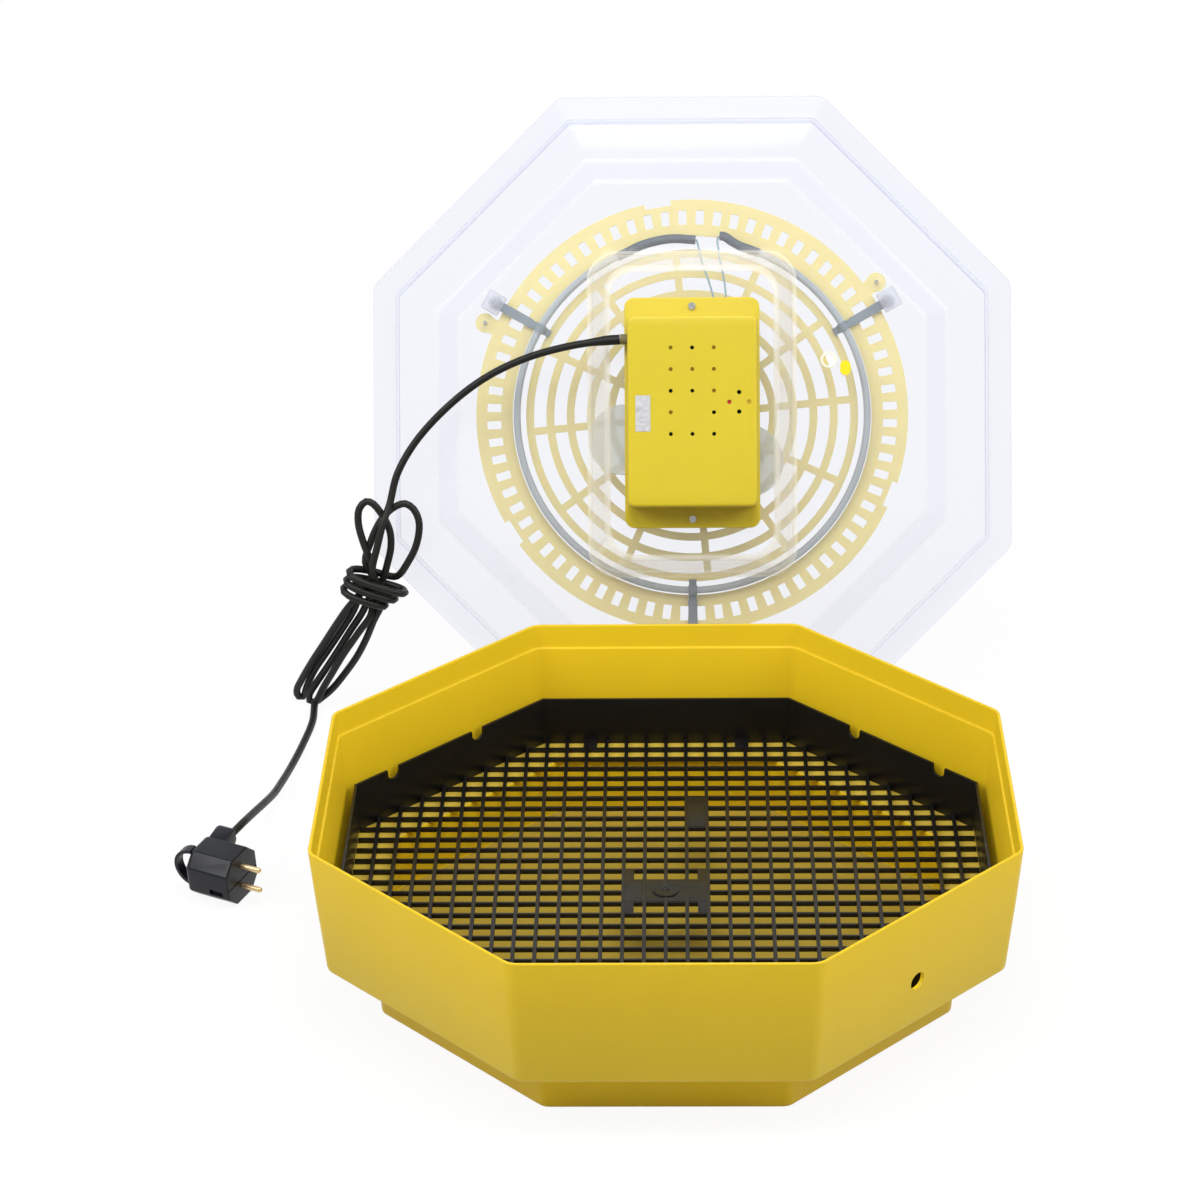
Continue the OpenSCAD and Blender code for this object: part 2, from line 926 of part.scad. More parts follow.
// A square with wide chamfered corners
module plug_section()
    intersection() {
        square(2 * plug_half, center = true);
        rotate(45)
            square(sqrt(2) * (plug_half + plug_flat), center = true);
    }

// The block on the plug's back edge that the cord comes out of
module plug_neck()
    translate([neck_x, 10, 5])
        rotate([90, 0, 90])
            linear_extrude(neck_l)
                polygon([[0, 0], [11, 0], [18.5, 8], [18.5, 19], [15, 19.5], [0, 15]]);

// Two round rods, one over the other, `length` long from `start` along the plug
module plug_pin_pair(start, length, d)
    rotate([-plug_roll, 0, 0])
        for (side = [-1, 1])
            translate([start, 0, side * pin_gap / 2])
                rotate([0, 90, 0])
                    cylinder(h = length, d = d);

module plug_pins()
    color([0.85, 0.68, 0.35])
        on_plug() {
            plug_pin_pair(pin_start, 19, 4.8);
            plug_pin_pair(pin_start - 8, 8 + eps, 4);
        }

// Strap to pull the plug out by
module plug_pull_loop()
    color([0.13, 0.13, 0.15])
        on_plug()
            translate([-plug_l / 2, loop_at[0], loop_at[1]])
                rotate([90, 0, 0])
                    translate([0, 0, -4.5])
                        linear_extrude(9)
                            difference() {
                                circle(r = loop_out);
                                circle(r = loop_in);
                                translate([0, -25])
                                    square([25, 50]);
                            }

tub_wall();
tub_plinth();
tray_wall();
tray_grid();
lid_shell();
vent_ring();
vent_plug();
box_base();
box_cover();
box_screws();
blank_plate();
cord_gland();
circuit_board();
board_posts();
transformer();
relay();
terminal_block();
lamp_red();
lamp_yellow();
motor_plate();
motor_screws();
fan_motor();
shaft_bush();
fan_shaft();
fan_wheel();
guard_ring();
guard_grille();
guard_arms();
arm_spacers();
guard_screws();
heater_ring();
heater_clips();
heater_sleeves();
heater_leads();
wire_grommet();
temperature_sensor();
mains_cord();
cord_hank();
cord_tail();
plug_body();
plug_pins();
plug_pull_loop();
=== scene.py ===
import math

import bmesh
import bpy
from mathutils import Matrix, Vector


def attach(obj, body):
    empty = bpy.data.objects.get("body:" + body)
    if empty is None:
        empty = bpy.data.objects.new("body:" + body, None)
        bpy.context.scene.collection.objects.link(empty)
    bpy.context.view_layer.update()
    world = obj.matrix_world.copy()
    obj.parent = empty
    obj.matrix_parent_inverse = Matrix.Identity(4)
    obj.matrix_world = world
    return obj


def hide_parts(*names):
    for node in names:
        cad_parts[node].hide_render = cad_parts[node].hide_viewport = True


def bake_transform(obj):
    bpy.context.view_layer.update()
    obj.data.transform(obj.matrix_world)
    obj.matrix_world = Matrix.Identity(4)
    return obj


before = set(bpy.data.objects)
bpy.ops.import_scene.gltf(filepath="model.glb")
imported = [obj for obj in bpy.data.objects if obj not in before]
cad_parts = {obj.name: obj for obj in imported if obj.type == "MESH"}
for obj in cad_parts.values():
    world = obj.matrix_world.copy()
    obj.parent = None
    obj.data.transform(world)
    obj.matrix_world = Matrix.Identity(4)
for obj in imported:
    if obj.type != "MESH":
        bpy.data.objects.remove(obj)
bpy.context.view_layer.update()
MM = 0.001
MM_TO_M = Matrix.Scale(MM, 4)


def new_object(name, data):
    obj = bpy.data.objects.new(name, data)
    bpy.context.scene.collection.objects.link(obj)
    return obj


# ---------------------------------------------------------------- camera

# The camera that was fitted to the photo: its place in metres, its turns, and its lens in millimetres
CAM_AT = Vector((0.0097, -2.5171, 1.5688))
CAM_DOWN, CAM_SIDE, CAM_ROLL = (math.radians(a) for a in (26.308, -1.37, -0.87))
CAM_LENS, CAM_SENSOR = 106.7, 36


def make_camera():
    ahead = Vector(
        (
            math.sin(CAM_SIDE) * math.cos(CAM_DOWN),
            math.cos(CAM_SIDE) * math.cos(CAM_DOWN),
            -math.sin(CAM_DOWN),
        )
    )
    level = ahead.cross(Vector((0, 0, 1))).normalized()
    up = level.cross(ahead)
    c, s = math.cos(CAM_ROLL), math.sin(CAM_ROLL)
    right, up = c * level + s * up, -s * level + c * up
    data = bpy.data.cameras.new("camera")
    data.sensor_width = CAM_SENSOR
    data.lens = CAM_LENS
    data.clip_end = 50
    cam = new_object("camera", data)
    turn = Matrix((right, up, -ahead)).transposed().to_4x4()
    cam.matrix_world = Matrix.Translation(CAM_AT) @ turn
    bpy.context.scene.camera = cam


make_camera()

# ---------------------------------------------------------------- node materials

# The span that most of a noise texture's values lie in
NOISE_LOW, NOISE_HIGH = 0.3, 0.7
# Depth of a fine grain, and how far red, green and blue light spreads inside plastic, in metres
GRAIN_DEPTH = 0.0003
LIGHT_SPREAD = (0.01, 0.006, 0.001)


def shade(colour, k):
    return tuple(min(1.0, c * k) for c in colour)


class Nodes:
    """A new material's node tree, with short calls to add and join nodes."""

    def __init__(self, name):
        self.mat = bpy.data.materials.new(name)
        self.mat.use_nodes = True
        self.tree = self.mat.node_tree
        self.tree.nodes.clear()
        self.out = self.tree.nodes.new("ShaderNodeOutputMaterial")

    def add(self, kind, inputs=None, **fields):
        node = self.tree.nodes.new("ShaderNode" + kind)
        for key, value in fields.items():
            setattr(node, key, value)
        for key, value in (inputs or {}).items():
            if isinstance(value, bpy.types.NodeSocket):
                self.tree.links.new(value, node.inputs[key])
            else:
                node.inputs[key].default_value = value
        return node

    def noise(self, scale, detail=2.0, rough=0.5, stretch=(1, 1, 1)):
        at = self.add("TexCoord").outputs["Object"]
        at = self.add("Mapping", {"Vector": at, "Scale": stretch}).outputs[0]
        fields = {"Vector": at, "Scale": scale, "Detail": detail, "Roughness": rough}
        return self.add("TexNoise", fields).outputs["Fac"]

    def ramp(self, fac, stops):
        node = self.add("ValToRGB", {"Fac": fac})
        steps = node.color_ramp.elements
        while len(steps) < len(stops):
            steps.new(0.5)
        for step, (at, colour) in zip(steps, stops):
            step.position = at
            step.color = (*colour, 1) if len(colour) == 3 else colour
        return node.outputs["Color"]

    def mix(self, fac, a, b):
        """The colour a, or b where fac is 1."""
        return self.add("MixRGB", {0: fac, 1: a, 2: b}).outputs[0]

    def blend(self, fac, a, b):
        """The shader node a, or b where fac is 1."""
        return self.add("MixShader", {0: fac, 1: a.outputs[0], 2: b.outputs[0]})

    def cloudy(self, fac, colour, spread):
        """The colour, a little darker and lighter as fac varies."""
        dark, light = shade(colour, 1 - spread), shade(colour, 1 + spread)
        return self.ramp(fac, [(NOISE_LOW, dark), (NOISE_HIGH, light)])

    def spread(self, fac, start, end, low, high):
        """Carries fac from the span start..end over to low..high."""
        fields = {"Value": fac, "From Min": start, "From Max": end, "To Min": low, "To Max": high}
        return self.add("MapRange", fields).outputs[0]

    def level(self, fac, low, high):
        """Carries a noise over to low..high."""
        return self.spread(fac, NOISE_LOW, NOISE_HIGH, low, high)

    def math(self, how, a, b=0.0):
        return self.add("Math", {0: a, 1: b}, operation=how).outputs[0]

    def bump(self, height, strength, distance):
        return self.add("Bump", {"Height": height, "Strength": strength, "Distance": distance}).outputs[0]

    def finish(self, shader):
        self.tree.links.new(shader, self.out.inputs["Surface"])
        return self.mat


def moulded(name, colour, rough, spread, grain, bump, coat=0.0, through=0.0, shine=0.5):
    """Moulded plastic: slight cloudiness of colour and gloss, and a fine grain."""
    n = Nodes(name)
    shader = n.add(
        "BsdfPrincipled",
        {
            "Base Color": n.cloudy(n.noise(6, 3, 0.6), colour, spread),
            "Roughness": n.level(n.noise(40, 4, 0.7), rough - 0.05, rough + 0.07),
            "Normal": n.bump(n.noise(grain, 2, 0.6), bump, GRAIN_DEPTH),
            "Specular IOR Level": shine,
            "Coat Weight": coat,
            "Coat Roughness": 0.1,
            "Subsurface Weight": through,
            "Subsurface Radius": LIGHT_SPREAD,
            "Subsurface Scale": 1.0,
        },
    )
    return n.finish(shader.outputs[0])


def metal(name, colour, rough, spread=0.12, stretch=(1, 1, 1)):
    """Metal with a drawn or plated surface."""
    n = Nodes(name)
    streak = n.noise(300, 3, 0.6, stretch)
    shader = n.add(
        "BsdfPrincipled",
        {
            "Base Color": n.cloudy(n.noise(25, 3), colour, spread),
            "Metallic": 1.0,
            "Roughness": n.level(streak, rough - 0.08, rough + 0.1),
            "Normal": n.bump(streak, 0.1, 0.0002),
        },
    )
    return n.finish(shader.outputs[0])


# The record's material slots, with colours as linear RGB
YELLOW = (0.8, 0.55, 0.014)
LOOKS = {
    "yellow_box": moulded("yellow_box", (0.6, 0.465, 0.022), 0.36, 0.03, 1100, 0.14, 0.0, 0.3, 0.35),
    "yellow_trim": moulded("yellow_trim", (0.88, 0.66, 0.01), 0.3, 0.03, 900, 0.05),
    "black_tray": moulded("black_tray", (0.006, 0.0055, 0.005), 0.36, 0.2, 900, 0.15, shine=0.35),
    "black_base": moulded("black_base", (0.02, 0.02, 0.02), 0.5, 0.2, 1200, 0.3),
    "black_cord": moulded("black_cord", (0.007, 0.007, 0.006), 0.45, 0.2, 1500, 0.15, shine=0.3),
    "black_plug": moulded("black_plug", (0.005, 0.006, 0.01), 0.32, 0.2, 1300, 0.12, shine=0.3),
    "black_rubber": moulded("black_rubber", (0.02, 0.02, 0.02), 0.6, 0.2, 1500, 0.2),
    "pale_trim": moulded("pale_trim", (0.8, 0.78, 0.66), 0.35, 0.04, 900, 0.05, 0.0, 0.2),
    "amber_guard": moulded("amber_guard", (0.96, 0.77, 0.3), 0.35, 0.04, 900, 0.08, 0.0, 0.3),
    "grey_arms": moulded("grey_arms", (0.19, 0.23, 0.24), 0.45, 0.3, 900, 0.2),
    "olive_gland": moulded("olive_gland", (0.16, 0.14, 0.05), 0.5, 0.15, 1200, 0.2),
    "green_board": moulded("green_board", (0.02, 0.09, 0.03), 0.4, 0.2, 300, 0.1),
    "green_plastic": moulded("green_plastic", (0.03, 0.2, 0.07), 0.4, 0.1, 900, 0.1),
    "blue_plastic": moulded("blue_plastic", (0.02, 0.06, 0.3), 0.4, 0.1, 900, 0.1),
    "dark_plastic": moulded("dark_plastic", (0.08, 0.1, 0.115), 0.42, 0.2, 900, 0.15),
    "red_lens": moulded("red_lens", (0.45, 0.02, 0.015), 0.2, 0.1, 900, 0.02, 0.3),
    "amber_lens": moulded("amber_lens", (0.5, 0.3, 0.02), 0.2, 0.1, 900, 0.02, 0.3),
    "blue_lead": moulded("blue_lead", (0.25, 0.4, 0.42), 0.4, 0.1, 900, 0.05),
    "zinc": metal("zinc", (0.62, 0.62, 0.6), 0.3),
    "steel": metal("steel", (0.6, 0.6, 0.6), 0.28),
    "silver_plate": metal("silver_plate", (0.78, 0.78, 0.8), 0.38, 0.06),
    "bronze": metal("bronze", (0.5, 0.3, 0.12), 0.4),
    "heater_metal": moulded("heater_metal", (0.42, 0.46, 0.45), 0.42, 0.08, 500, 0.1),
    "brass_pin": metal("brass_pin", (0.72, 0.54, 0.3), 0.36, 0.12, (1, 1, 6)),
}


def clear_sheet(name, tint, veil, gloss=0.05):
    """Clear moulded sheet: what is behind it shows through a faint pale veil, thicker at a slant."""
    n = Nodes(name)
    ripple = n.bump(n.noise(9, 2, 0.5), 0.15, 0.002)
    slant = n.add("LayerWeight", {"Blend": 0.35, "Normal": ripple}).outputs["Facing"]
    cloud = n.level(n.noise(5, 3, 0.6), veil * 0.8, veil * 1.2)
    haze = n.math("ADD", cloud, n.math("MULTIPLY", n.math("POWER", slant, 2.0), 0.22))
    clear = n.add("BsdfTransparent", {"Color": n.ramp(slant, [(0.0, (0.966, 0.969, 0.99)), (1.0, tint)])})
    body = n.add("BsdfDiffuse", {"Color": (*tint, 1), "Normal": ripple})
    back = n.add("BsdfTranslucent", {"Color": (*tint, 1)})
    sheet = n.blend(haze, clear, n.blend(0.5, body, back))
    shine = n.add("BsdfGlossy", {"Color": (1, 1, 1, 1), "Roughness": 0.08, "Normal": ripple})
    fresnel = n.add("Fresnel", {"IOR": 1.38, "Normal": ripple}).outputs[0]
    share = n.math("MULTIPLY", fresnel, gloss * 6)
    return n.finish(n.blend(share, sheet, shine).outputs[0])


LOOKS["clear_lid"] = clear_sheet("clear_lid", (0.86, 0.895, 1.0), 0.085)
LOOKS["clear_spacer"] = clear_sheet("clear_spacer", (0.92, 0.94, 0.96), 0.45, 0.09)
# The bends and the dome's sides get a thicker veil than the flats, as a painted highlight, and the dome a
# warm tint, as a painted reflection of the box's yellow
BEND_PAINTED_HIGHLIGHT = clear_sheet("clear_bend_painted_highlight", (0.9, 0.925, 1.0), 0.17)
DOME_SIDE_PAINTED_LIGHT = clear_sheet("clear_dome_side_painted_light", (1.0, 0.97, 0.88), 0.17)
DOME_BEND_PAINTED_LIGHT = clear_sheet("clear_dome_bend_painted_light", (1.0, 0.975, 0.9), 0.45)


def translucent(name, colour, clear):
    """Thin unpigmented plastic: part of the light goes straight through, and part is spread."""
    n = Nodes(name)
    tone = n.cloudy(n.noise(8, 3, 0.6), colour, 0.04)
    fine = n.bump(n.noise(700, 2, 0.6), 0.05, GRAIN_DEPTH)
    fields = {"Base Color": tone, "Roughness": 0.35, "Specular IOR Level": 0.3, "Normal": fine}
    skin = n.add("BsdfPrincipled", fields)
    back = n.add("BsdfTranslucent", {"Color": tone})
    share = n.level(n.noise(5, 2), clear * 0.85, clear * 1.15)
    through = n.add("BsdfTransparent", {"Color": (0.97, 0.98, 0.96, 1)})
    return n.finish(n.blend(share, n.blend(0.3, skin, back), through).outputs[0])


LOOKS["pale_fan"] = translucent("pale_fan", (0.9, 0.92, 0.84), 0.42)


# Heights in the tub, in metres: just over the basin's ledge, just over the shoulder that the wall stands on,
# and where its top edges begin, which carry painted shade on their upward faces
LEDGE_TOP, WALL_FOOT, TOP_SHADE_FROM = 0.0536, 0.0505, 0.13
# Colours of painted shade: under the tray on the basin's floor and ledge, low on the outer walls, and on the
# upward faces of the top edges
BASIN_SHADE_TONE, LOW_WALL_SHADE_TONE, TOP_FACE_SHADE_TONE = (0.16, 0.13, 0.07, 1), (0.3, 0.27, 0.05, 1), (0.3, 0.2, 0.01, 1)


def tub_yellow_painted_shade():
    """The tub's yellow, with painted shade under the tray on the basin's floor and ledge, and a little
    painted shade on its upward top edges and low on its outside.
    """
    n = Nodes("tub_yellow_painted_shade")
    height = n.add("SeparateXYZ", {0: n.add("TexCoord").outputs["Object"]}).outputs["Z"]
    facing = n.add("SeparateXYZ", {0: n.add("NewGeometry").outputs["Normal"]}).outputs["Z"]
    # Painted shade on the basin's floor and ledge, which lie under the tray
    low = n.math("LESS_THAN", height, LEDGE_TOP)
    level = n.math("GREATER_THAN", facing, 0.6)
    basin_shade = n.math("MULTIPLY", n.math("MULTIPLY", low, level), 0.5)
    basin = n.mix(basin_shade, n.cloudy(n.noise(6, 3, 0.6), YELLOW, 0.03), BASIN_SHADE_TONE)
    # Painted shade low on the outer walls, darker towards their foot
    slanted = n.math("LESS_THAN", facing, -0.02)
    outer = n.math("MULTIPLY", slanted, n.math("GREATER_THAN", height, WALL_FOOT))
    low_wall_shade = n.math("MULTIPLY", n.spread(height, 0.05, 0.15, 0.2, 0.0), outer)
    wall = n.mix(low_wall_shade, basin, LOW_WALL_SHADE_TONE)
    # Painted shade on the upward faces near the top, where the top light falls
    edges = n.math("MULTIPLY", n.math("GREATER_THAN", height, TOP_SHADE_FROM), n.math("MULTIPLY", level, 0.3))
    shader = n.add(
        "BsdfPrincipled",
        {
            "Base Color": n.mix(edges, wall, TOP_FACE_SHADE_TONE),
            "Roughness": n.level(n.noise(40, 4, 0.7), 0.37, 0.49),
            "Normal": n.bump(n.noise(900, 2, 0.6), 0.1, GRAIN_DEPTH),
            "Specular IOR Level": 0.25,
            "Subsurface Weight": 0.08,
            "Subsurface Radius": LIGHT_SPREAD,
            "Subsurface Scale": 1.0,
        },
    )
    return n.finish(shader.outputs[0])


LOOKS["yellow_shell"] = tub_yellow_painted_shade()

# ---------------------------------------------------------------- mesh helpers

# Edges that turn by more than this are bevelled, in the pieces made here and in the CAD's
SHARP, CAD_SHARP = math.radians(28), math.radians(40)


def mesh_data(name, mesh, bevel=0.0, segments=2):
    """Vertices and faces as Blender's data, with normals outwards and sharp edges bevelled to a width."""
    verts, faces = mesh
    data = bpy.data.meshes.new(name)
    data.from_pydata([tuple(v) for v in verts], [], faces)
    bm = bmesh.new()
    bm.from_mesh(data)
    bmesh.ops.recalc_face_normals(bm, faces=bm.faces)
    if bevel:
        sharp = [e for e in bm.edges if len(e.link_faces) == 2 and e.calc_face_angle(0) > SHARP]
        bmesh.ops.bevel(
            bm, geom=sharp, offset=bevel, segments=segments, profile=0.6, affect="EDGES", clamp_overlap=True
        )
    bm.to_mesh(data)
    bm.free()
    return data


def piece(name, mesh, slot, body, replaces=(), smooth=35.0, bevel=0.0, segments=2):
    """A mesh in metres that rides on a body. Edges of less than `smooth` degrees are shaded smooth."""
    data = mesh_data(name, mesh, bevel, segments)
    data.materials.append(LOOKS[slot])
    obj = new_object(name, data)
    shade_smooth(obj, smooth)
    if body:
        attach(obj, body)
    if replaces:
        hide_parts(*replaces)
    return obj


def shade_smooth(obj, angle):
    obj.data.polygons.foreach_set("use_smooth", [True] * len(obj.data.polygons))
    obj.data.set_sharp_from_angle(angle=math.radians(angle))


def drill(obj, cutter_meshes, smooth):
    """Cuts closed meshes out of a piece, and leaves the piece a plain mesh."""
    for mesh in cutter_meshes:
        cutter = new_object("cutter", mesh_data("cutter", mesh))
        cut = obj.modifiers.new("cut", "BOOLEAN")
        cut.operation = "DIFFERENCE"
        cut.solver = "EXACT"
        cut.object = cutter
        bpy.context.view_layer.update()
        solid = bpy.data.meshes.new_from_object(obj.evaluated_get(bpy.context.evaluated_depsgraph_get()))
        obj.modifiers.remove(cut)
        bpy.data.objects.remove(cutter)
        obj.data = solid
    obj.data.name = obj.name
    shade_smooth(obj, smooth)


def rings_mesh(rings, closed=False):
    """Vertices and faces of a skin over rings with equal counts of points, capped or closed to a loop."""
    n = len(rings[0])
    verts = [p for ring in rings for p in ring]
    faces = []
    steps = len(rings) if closed else len(rings) - 1
    for i in range(steps):
        a, b = i * n, (i + 1) % len(rings) * n
        faces += [(a + k, a + (k + 1) % n, b + (k + 1) % n, b + k) for k in range(n)]
    if not closed:
        faces.append(tuple(range(n - 1, -1, -1)))
        faces.append(tuple((len(rings) - 1) * n + k for k in range(n)))
    return verts, faces


def frames_along(path):
    """Unit tangents and two normals at each point, turned as little as possible on the way."""
    tangents = []
    for i in range(len(path)):
        a, b = path[max(i - 1, 0)], path[min(i + 1, len(path) - 1)]
        tangents.append((b - a).normalized())
    side = tangents[0].orthogonal().normalized()
    out = []
    for t in tangents:
        side = (side - t * side.dot(t)).normalized()
        out.append((t, side, t.cross(side)))
    return out


def smooth_path(points, step):
    """Points about `step` apart along a centripetal curve through the given points."""
    pts = [Vector(p) for p in points]
    pts = [2 * pts[0] - pts[1], *pts, 2 * pts[-1] - pts[-2]]
    out = []
    for i in range(1, len(pts) - 2):
        p0, p1, p2, p3 = pts[i - 1 : i + 3]
        t0 = 0.0
        t1 = t0 + max((p1 - p0).length, 1e-6) ** 0.5
        t2 = t1 + max((p2 - p1).length, 1e-6) ** 0.5
        t3 = t2 + max((p3 - p2).length, 1e-6) ** 0.5
        count = max(1, round((p2 - p1).length / step))
        for k in range(count):
            t = t1 + (t2 - t1) * k / count
            a1 = p0.lerp(p1, (t - t0) / (t1 - t0))
            a2 = p1.lerp(p2, (t - t1) / (t2 - t1))
            a3 = p2.lerp(p3, (t - t2) / (t3 - t2))
            b1 = a1.lerp(a2, (t - t0) / (t2 - t0))
            b2 = a2.lerp(a3, (t - t1) / (t3 - t1))
            out.append(b1.lerp(b2, (t - t1) / (t2 - t1)))
    out.append(pts[-2])
    return out


def tube_mesh(path, radii, sides=14):
    """A round tube along a path, with a radius for each of its points."""
    turns = [2 * math.pi * k / sides for k in range(sides)]
    rings = []
    for p, r, (_, u, w) in zip(path, radii, frames_along(path)):
        rings.append([p + r * (math.cos(a) * u + math.sin(a) * w) for a in turns])
    return rings_mesh(rings)


def merged(meshes):
    """Several meshes as one."""
    verts, faces = [], []
    for v, f in meshes:
        faces += [tuple(i + len(verts) for i in face) for face in f]
        verts += list(v)
    return verts, faces


# A rounding takes at most this share of the way to the next ring
ROUNDING_SHARE = 0.45


def soften(rings, radii):
    """Rounds the corners between rings, each to its own radius, with four rings in place of one."""
    out = [rings[0]]
    for i in range(1, len(rings) - 1):
        if not radii[i]:
            out.append(rings[i])
            continue
        arc = [[], [], [], []]
        for a, b, c in zip(rings[i - 1], rings[i], rings[i + 1]):
            start = b + (a - b).normalized() * min(radii[i], ROUNDING_SHARE * (a - b).length)
            end = b + (c - b).normalized() * min(radii[i], ROUNDING_SHARE * (c - b).length)
            for ring, t in zip(arc, (0, 1 / 3, 2 / 3, 1)):
                ring.append(start.lerp(b, t).lerp(b.lerp(end, t), t))
        out += arc
    out.append(rings[-1])
    return out


def corner_ring(corners, r, arc):
    """A closed outline through arcs of radius r: corners are (x, y, first angle, last angle), in degrees."""
    out = []
    for x, y, first, last in corners:
        for j in range(arc):
            a = math.radians(first + (last - first) * j / (arc - 1))
            out.append(Vector((x + r * math.cos(a), y + r * math.sin(a), 0)))
    return out


# Half the turn from one side of an octagon to the next, in degrees
HALF_STEP = 22.5


def octagon(half, r, arc=7):
    """An octagon of this half width, with corners of radius r."""
    far = (half - r) / math.cos(math.radians(HALF_STEP))
    turns = [HALF_STEP * (2 * k + 1) for k in range(8)]
    places = [(far * math.cos(math.radians(a)), far * math.sin(math.radians(a)), a) for a in turns]
    return corner_ring([(x, y, a - HALF_STEP, a + HALF_STEP) for x, y, a in places], r, arc)


def rectangle(hx, hy, r, arc=14):
    """A rectangle with corners of radius r. It has as many points as an octagon, so they can be joined."""
    x, y = hx - r, hy - r
    return corner_ring([(x, y, 0, 90), (-x, y, 90, 180), (-x, -y, 180, 270), (x, -y, 270, 360)], r, arc)


def lifted(outline, z, place=MM_TO_M):
    """An outline in millimetres at height z, put in place in metres."""
    return [place @ Vector((p.x, p.y, z)) for p in outline]


def round_rod(a, b, r, sides):
    """A closed cylinder from a to b, all in metres."""
    return tube_mesh([a, b], [r, r], sides)


def softened(steps):
    """A skin over rings that each come with the radius, in millimetres, that rounds their corner."""
    return rings_mesh(soften([ring for ring, _ in steps], [edge * MM for _, edge in steps]))


def block(low, high, place=MM_TO_M):
    """A box between two corners in millimetres."""
    (x0, y0, z0), (x1, y1, z1) = low, high
    ring = [Vector(p) for p in ((x0, y0, 0), (x1, y0, 0), (x1, y1, 0), (x0, y1, 0))]
    return rings_mesh([lifted(ring, z0, place), lifted(ring, z1, place)])


def clad(node, slot, bevel=0.0):
    """Gives a CAD node its node material, and a small bevel where its edges show."""
    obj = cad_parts[node]
    if not obj.material_slots:
        obj.data.materials.append(LOOKS[slot])
    for s in obj.material_slots:
        s.material = LOOKS[slot]
    if bevel:
        mod = obj.modifiers.new("edge", "BEVEL")
        mod.width = bevel
        mod.segments = 2
        mod.limit_method = "ANGLE"
        mod.angle_limit = CAD_SHARP
    return obj


# ---------------------------------------------------------------- cord

# The route, in millimetres. Its two free stretches, at the top and at the end, repeat those of the solids
CORD_D = 0.0068
UPPER_ROUTE = [
    (-40.3, 468, 355), (-54, 468, 354), (-90, 468, 348), (-128, 469, 336), (-165, 468, 317),
    (-200, 463, 290), (-229, 455, 259), (-245, 444, 233), (-252, 434, 208),
]
TAIL_ROUTE = [
    (-329, 424, 9), (-329, 395, 5), (-335, 345, 4), (-341, 302, 6), (-345, 262, 13),
    (-348, 228, 21), (-353, 190, 32), (-358, 158, 41), (-364, 130, 47), (-370.5, 116.6, 45.7),
]
# Down to the foot of the hank, up to the left loop, down, up to the right loop, and into the binding
STRANDS = [
    (-258, 424, 193.5), (-263.5, 416, 173.5), (-268, 412, 157), (-271, 414, 138),
    (-281, 414.5, 126.5), (-293, 416, 111.5), (-304.5, 419, 93.5), (-317, 424, 72),
    (-331, 431, 47.5), (-342, 438, 26), (-348, 443, 11.5), (-347, 444, 4.5), (-342.5, 445, 4),
    (-338.5, 442, 15.5), (-329.5, 437, 36), (-316.5, 430, 58.5), (-300.5, 425, 85),
    (-288.5, 422, 106), (-279.5, 421.5, 128), (-271, 421.5, 138), (-271.5, 420, 158.5),
    (-277, 424, 175), (-281, 429, 191), (-280, 433, 204), (-273.5, 435, 210.5),
    (-267, 434, 208.5), (-260.5, 433, 200), (-255.5, 431.5, 191.5), (-252, 429, 180.5),
    (-252, 426, 167.5), (-255, 423, 155), (-261.5, 421.5, 135), (-270.5, 421.5, 124),
    (-281, 422, 103), (-293.5, 424, 82.5), (-306.5, 427, 60), (-319, 431, 39),
    (-329.5, 431, 23), (-335, 432, 13), (-335.5, 432, 6.5), (-330.5, 431.5, 5), (-323.5, 431, 10),
    (-312.5, 430, 20.5), (-299.5, 431, 37), (-288, 427, 55.5), (-278.5, 424, 75),
    (-271, 421, 94), (-259.5, 421.5, 122), (-267, 421.5, 138), (-275.5, 421.5, 155.5),
    (-270.5, 426, 173), (-263, 431, 189), (-255, 434.5, 199), (-246, 437, 205),
    (-238, 437.5, 207), (-230.5, 436.5, 202), (-226, 433.5, 192.5), (-226, 430.5, 180.5),
    (-230, 427, 166), (-236.5, 424.5, 154), (-244.5, 425, 141.5),
]
# The binding goes down the strands in three turns, from an oval 60 mm by 21 mm to one 40 mm wide: its
# middle, its two directions, then its turns, the points of each and the angle it starts at
TIE = Vector((-266, 418, 128))
TIE_SIDE = Vector((0.9525, 0, -0.3046))
TIE_DOWN = Vector((-0.3046, 0, -0.9525))
TIE_TURNS, TIE_STEPS, TIE_START = 3, 14, 1.3
# Half its width and how much that shrinks, its offset to the side and how far it shifts back
TIE_HALF, TIE_NARROWS, TIE_OFFSET, TIE_SHIFT = 30, 10, 1, 11
# Half its depth, its length, and the power that fills the corners of its ovals
TIE_DEPTH, TIE_LONG, TIE_POWER = 10.6, 27, 0.75
LAST_STRAND = [
    (-271, 424, 113), (-272.5, 419, 102.5), (-284, 417, 86), (-299.5, 418, 62.5),
    (-311.5, 421, 41), (-321, 424, 23.5), (-326.5, 423, 12.5),
]


def filled(x):
    return math.copysign(abs(x) ** TIE_POWER, x)


def binding():
    out = []
    count = TIE_TURNS * TIE_STEPS
    for i in range(count + 1):
        a, t = TIE_START + 2 * math.pi * i / TIE_STEPS, i / count
        across = (TIE_HALF - TIE_NARROWS * t) * filled(math.cos(a)) + TIE_OFFSET - TIE_SHIFT * t
        depth = TIE_DEPTH * filled(math.sin(a))
        p = TIE + TIE_SIDE * across + TIE_DOWN * (TIE_LONG * t - TIE_LONG / 2)
        out.append((p.x, TIE.y + depth, p.z))
    return out


ROUTE = UPPER_ROUTE + STRANDS + binding() + LAST_STRAND + TAIL_ROUTE
CORD_PATH = smooth_path([Vector(p) * MM for p in ROUTE], 0.0045)
CORD_LENGTH = sum((b - a).length for a, b in zip(CORD_PATH, CORD_PATH[1:]))
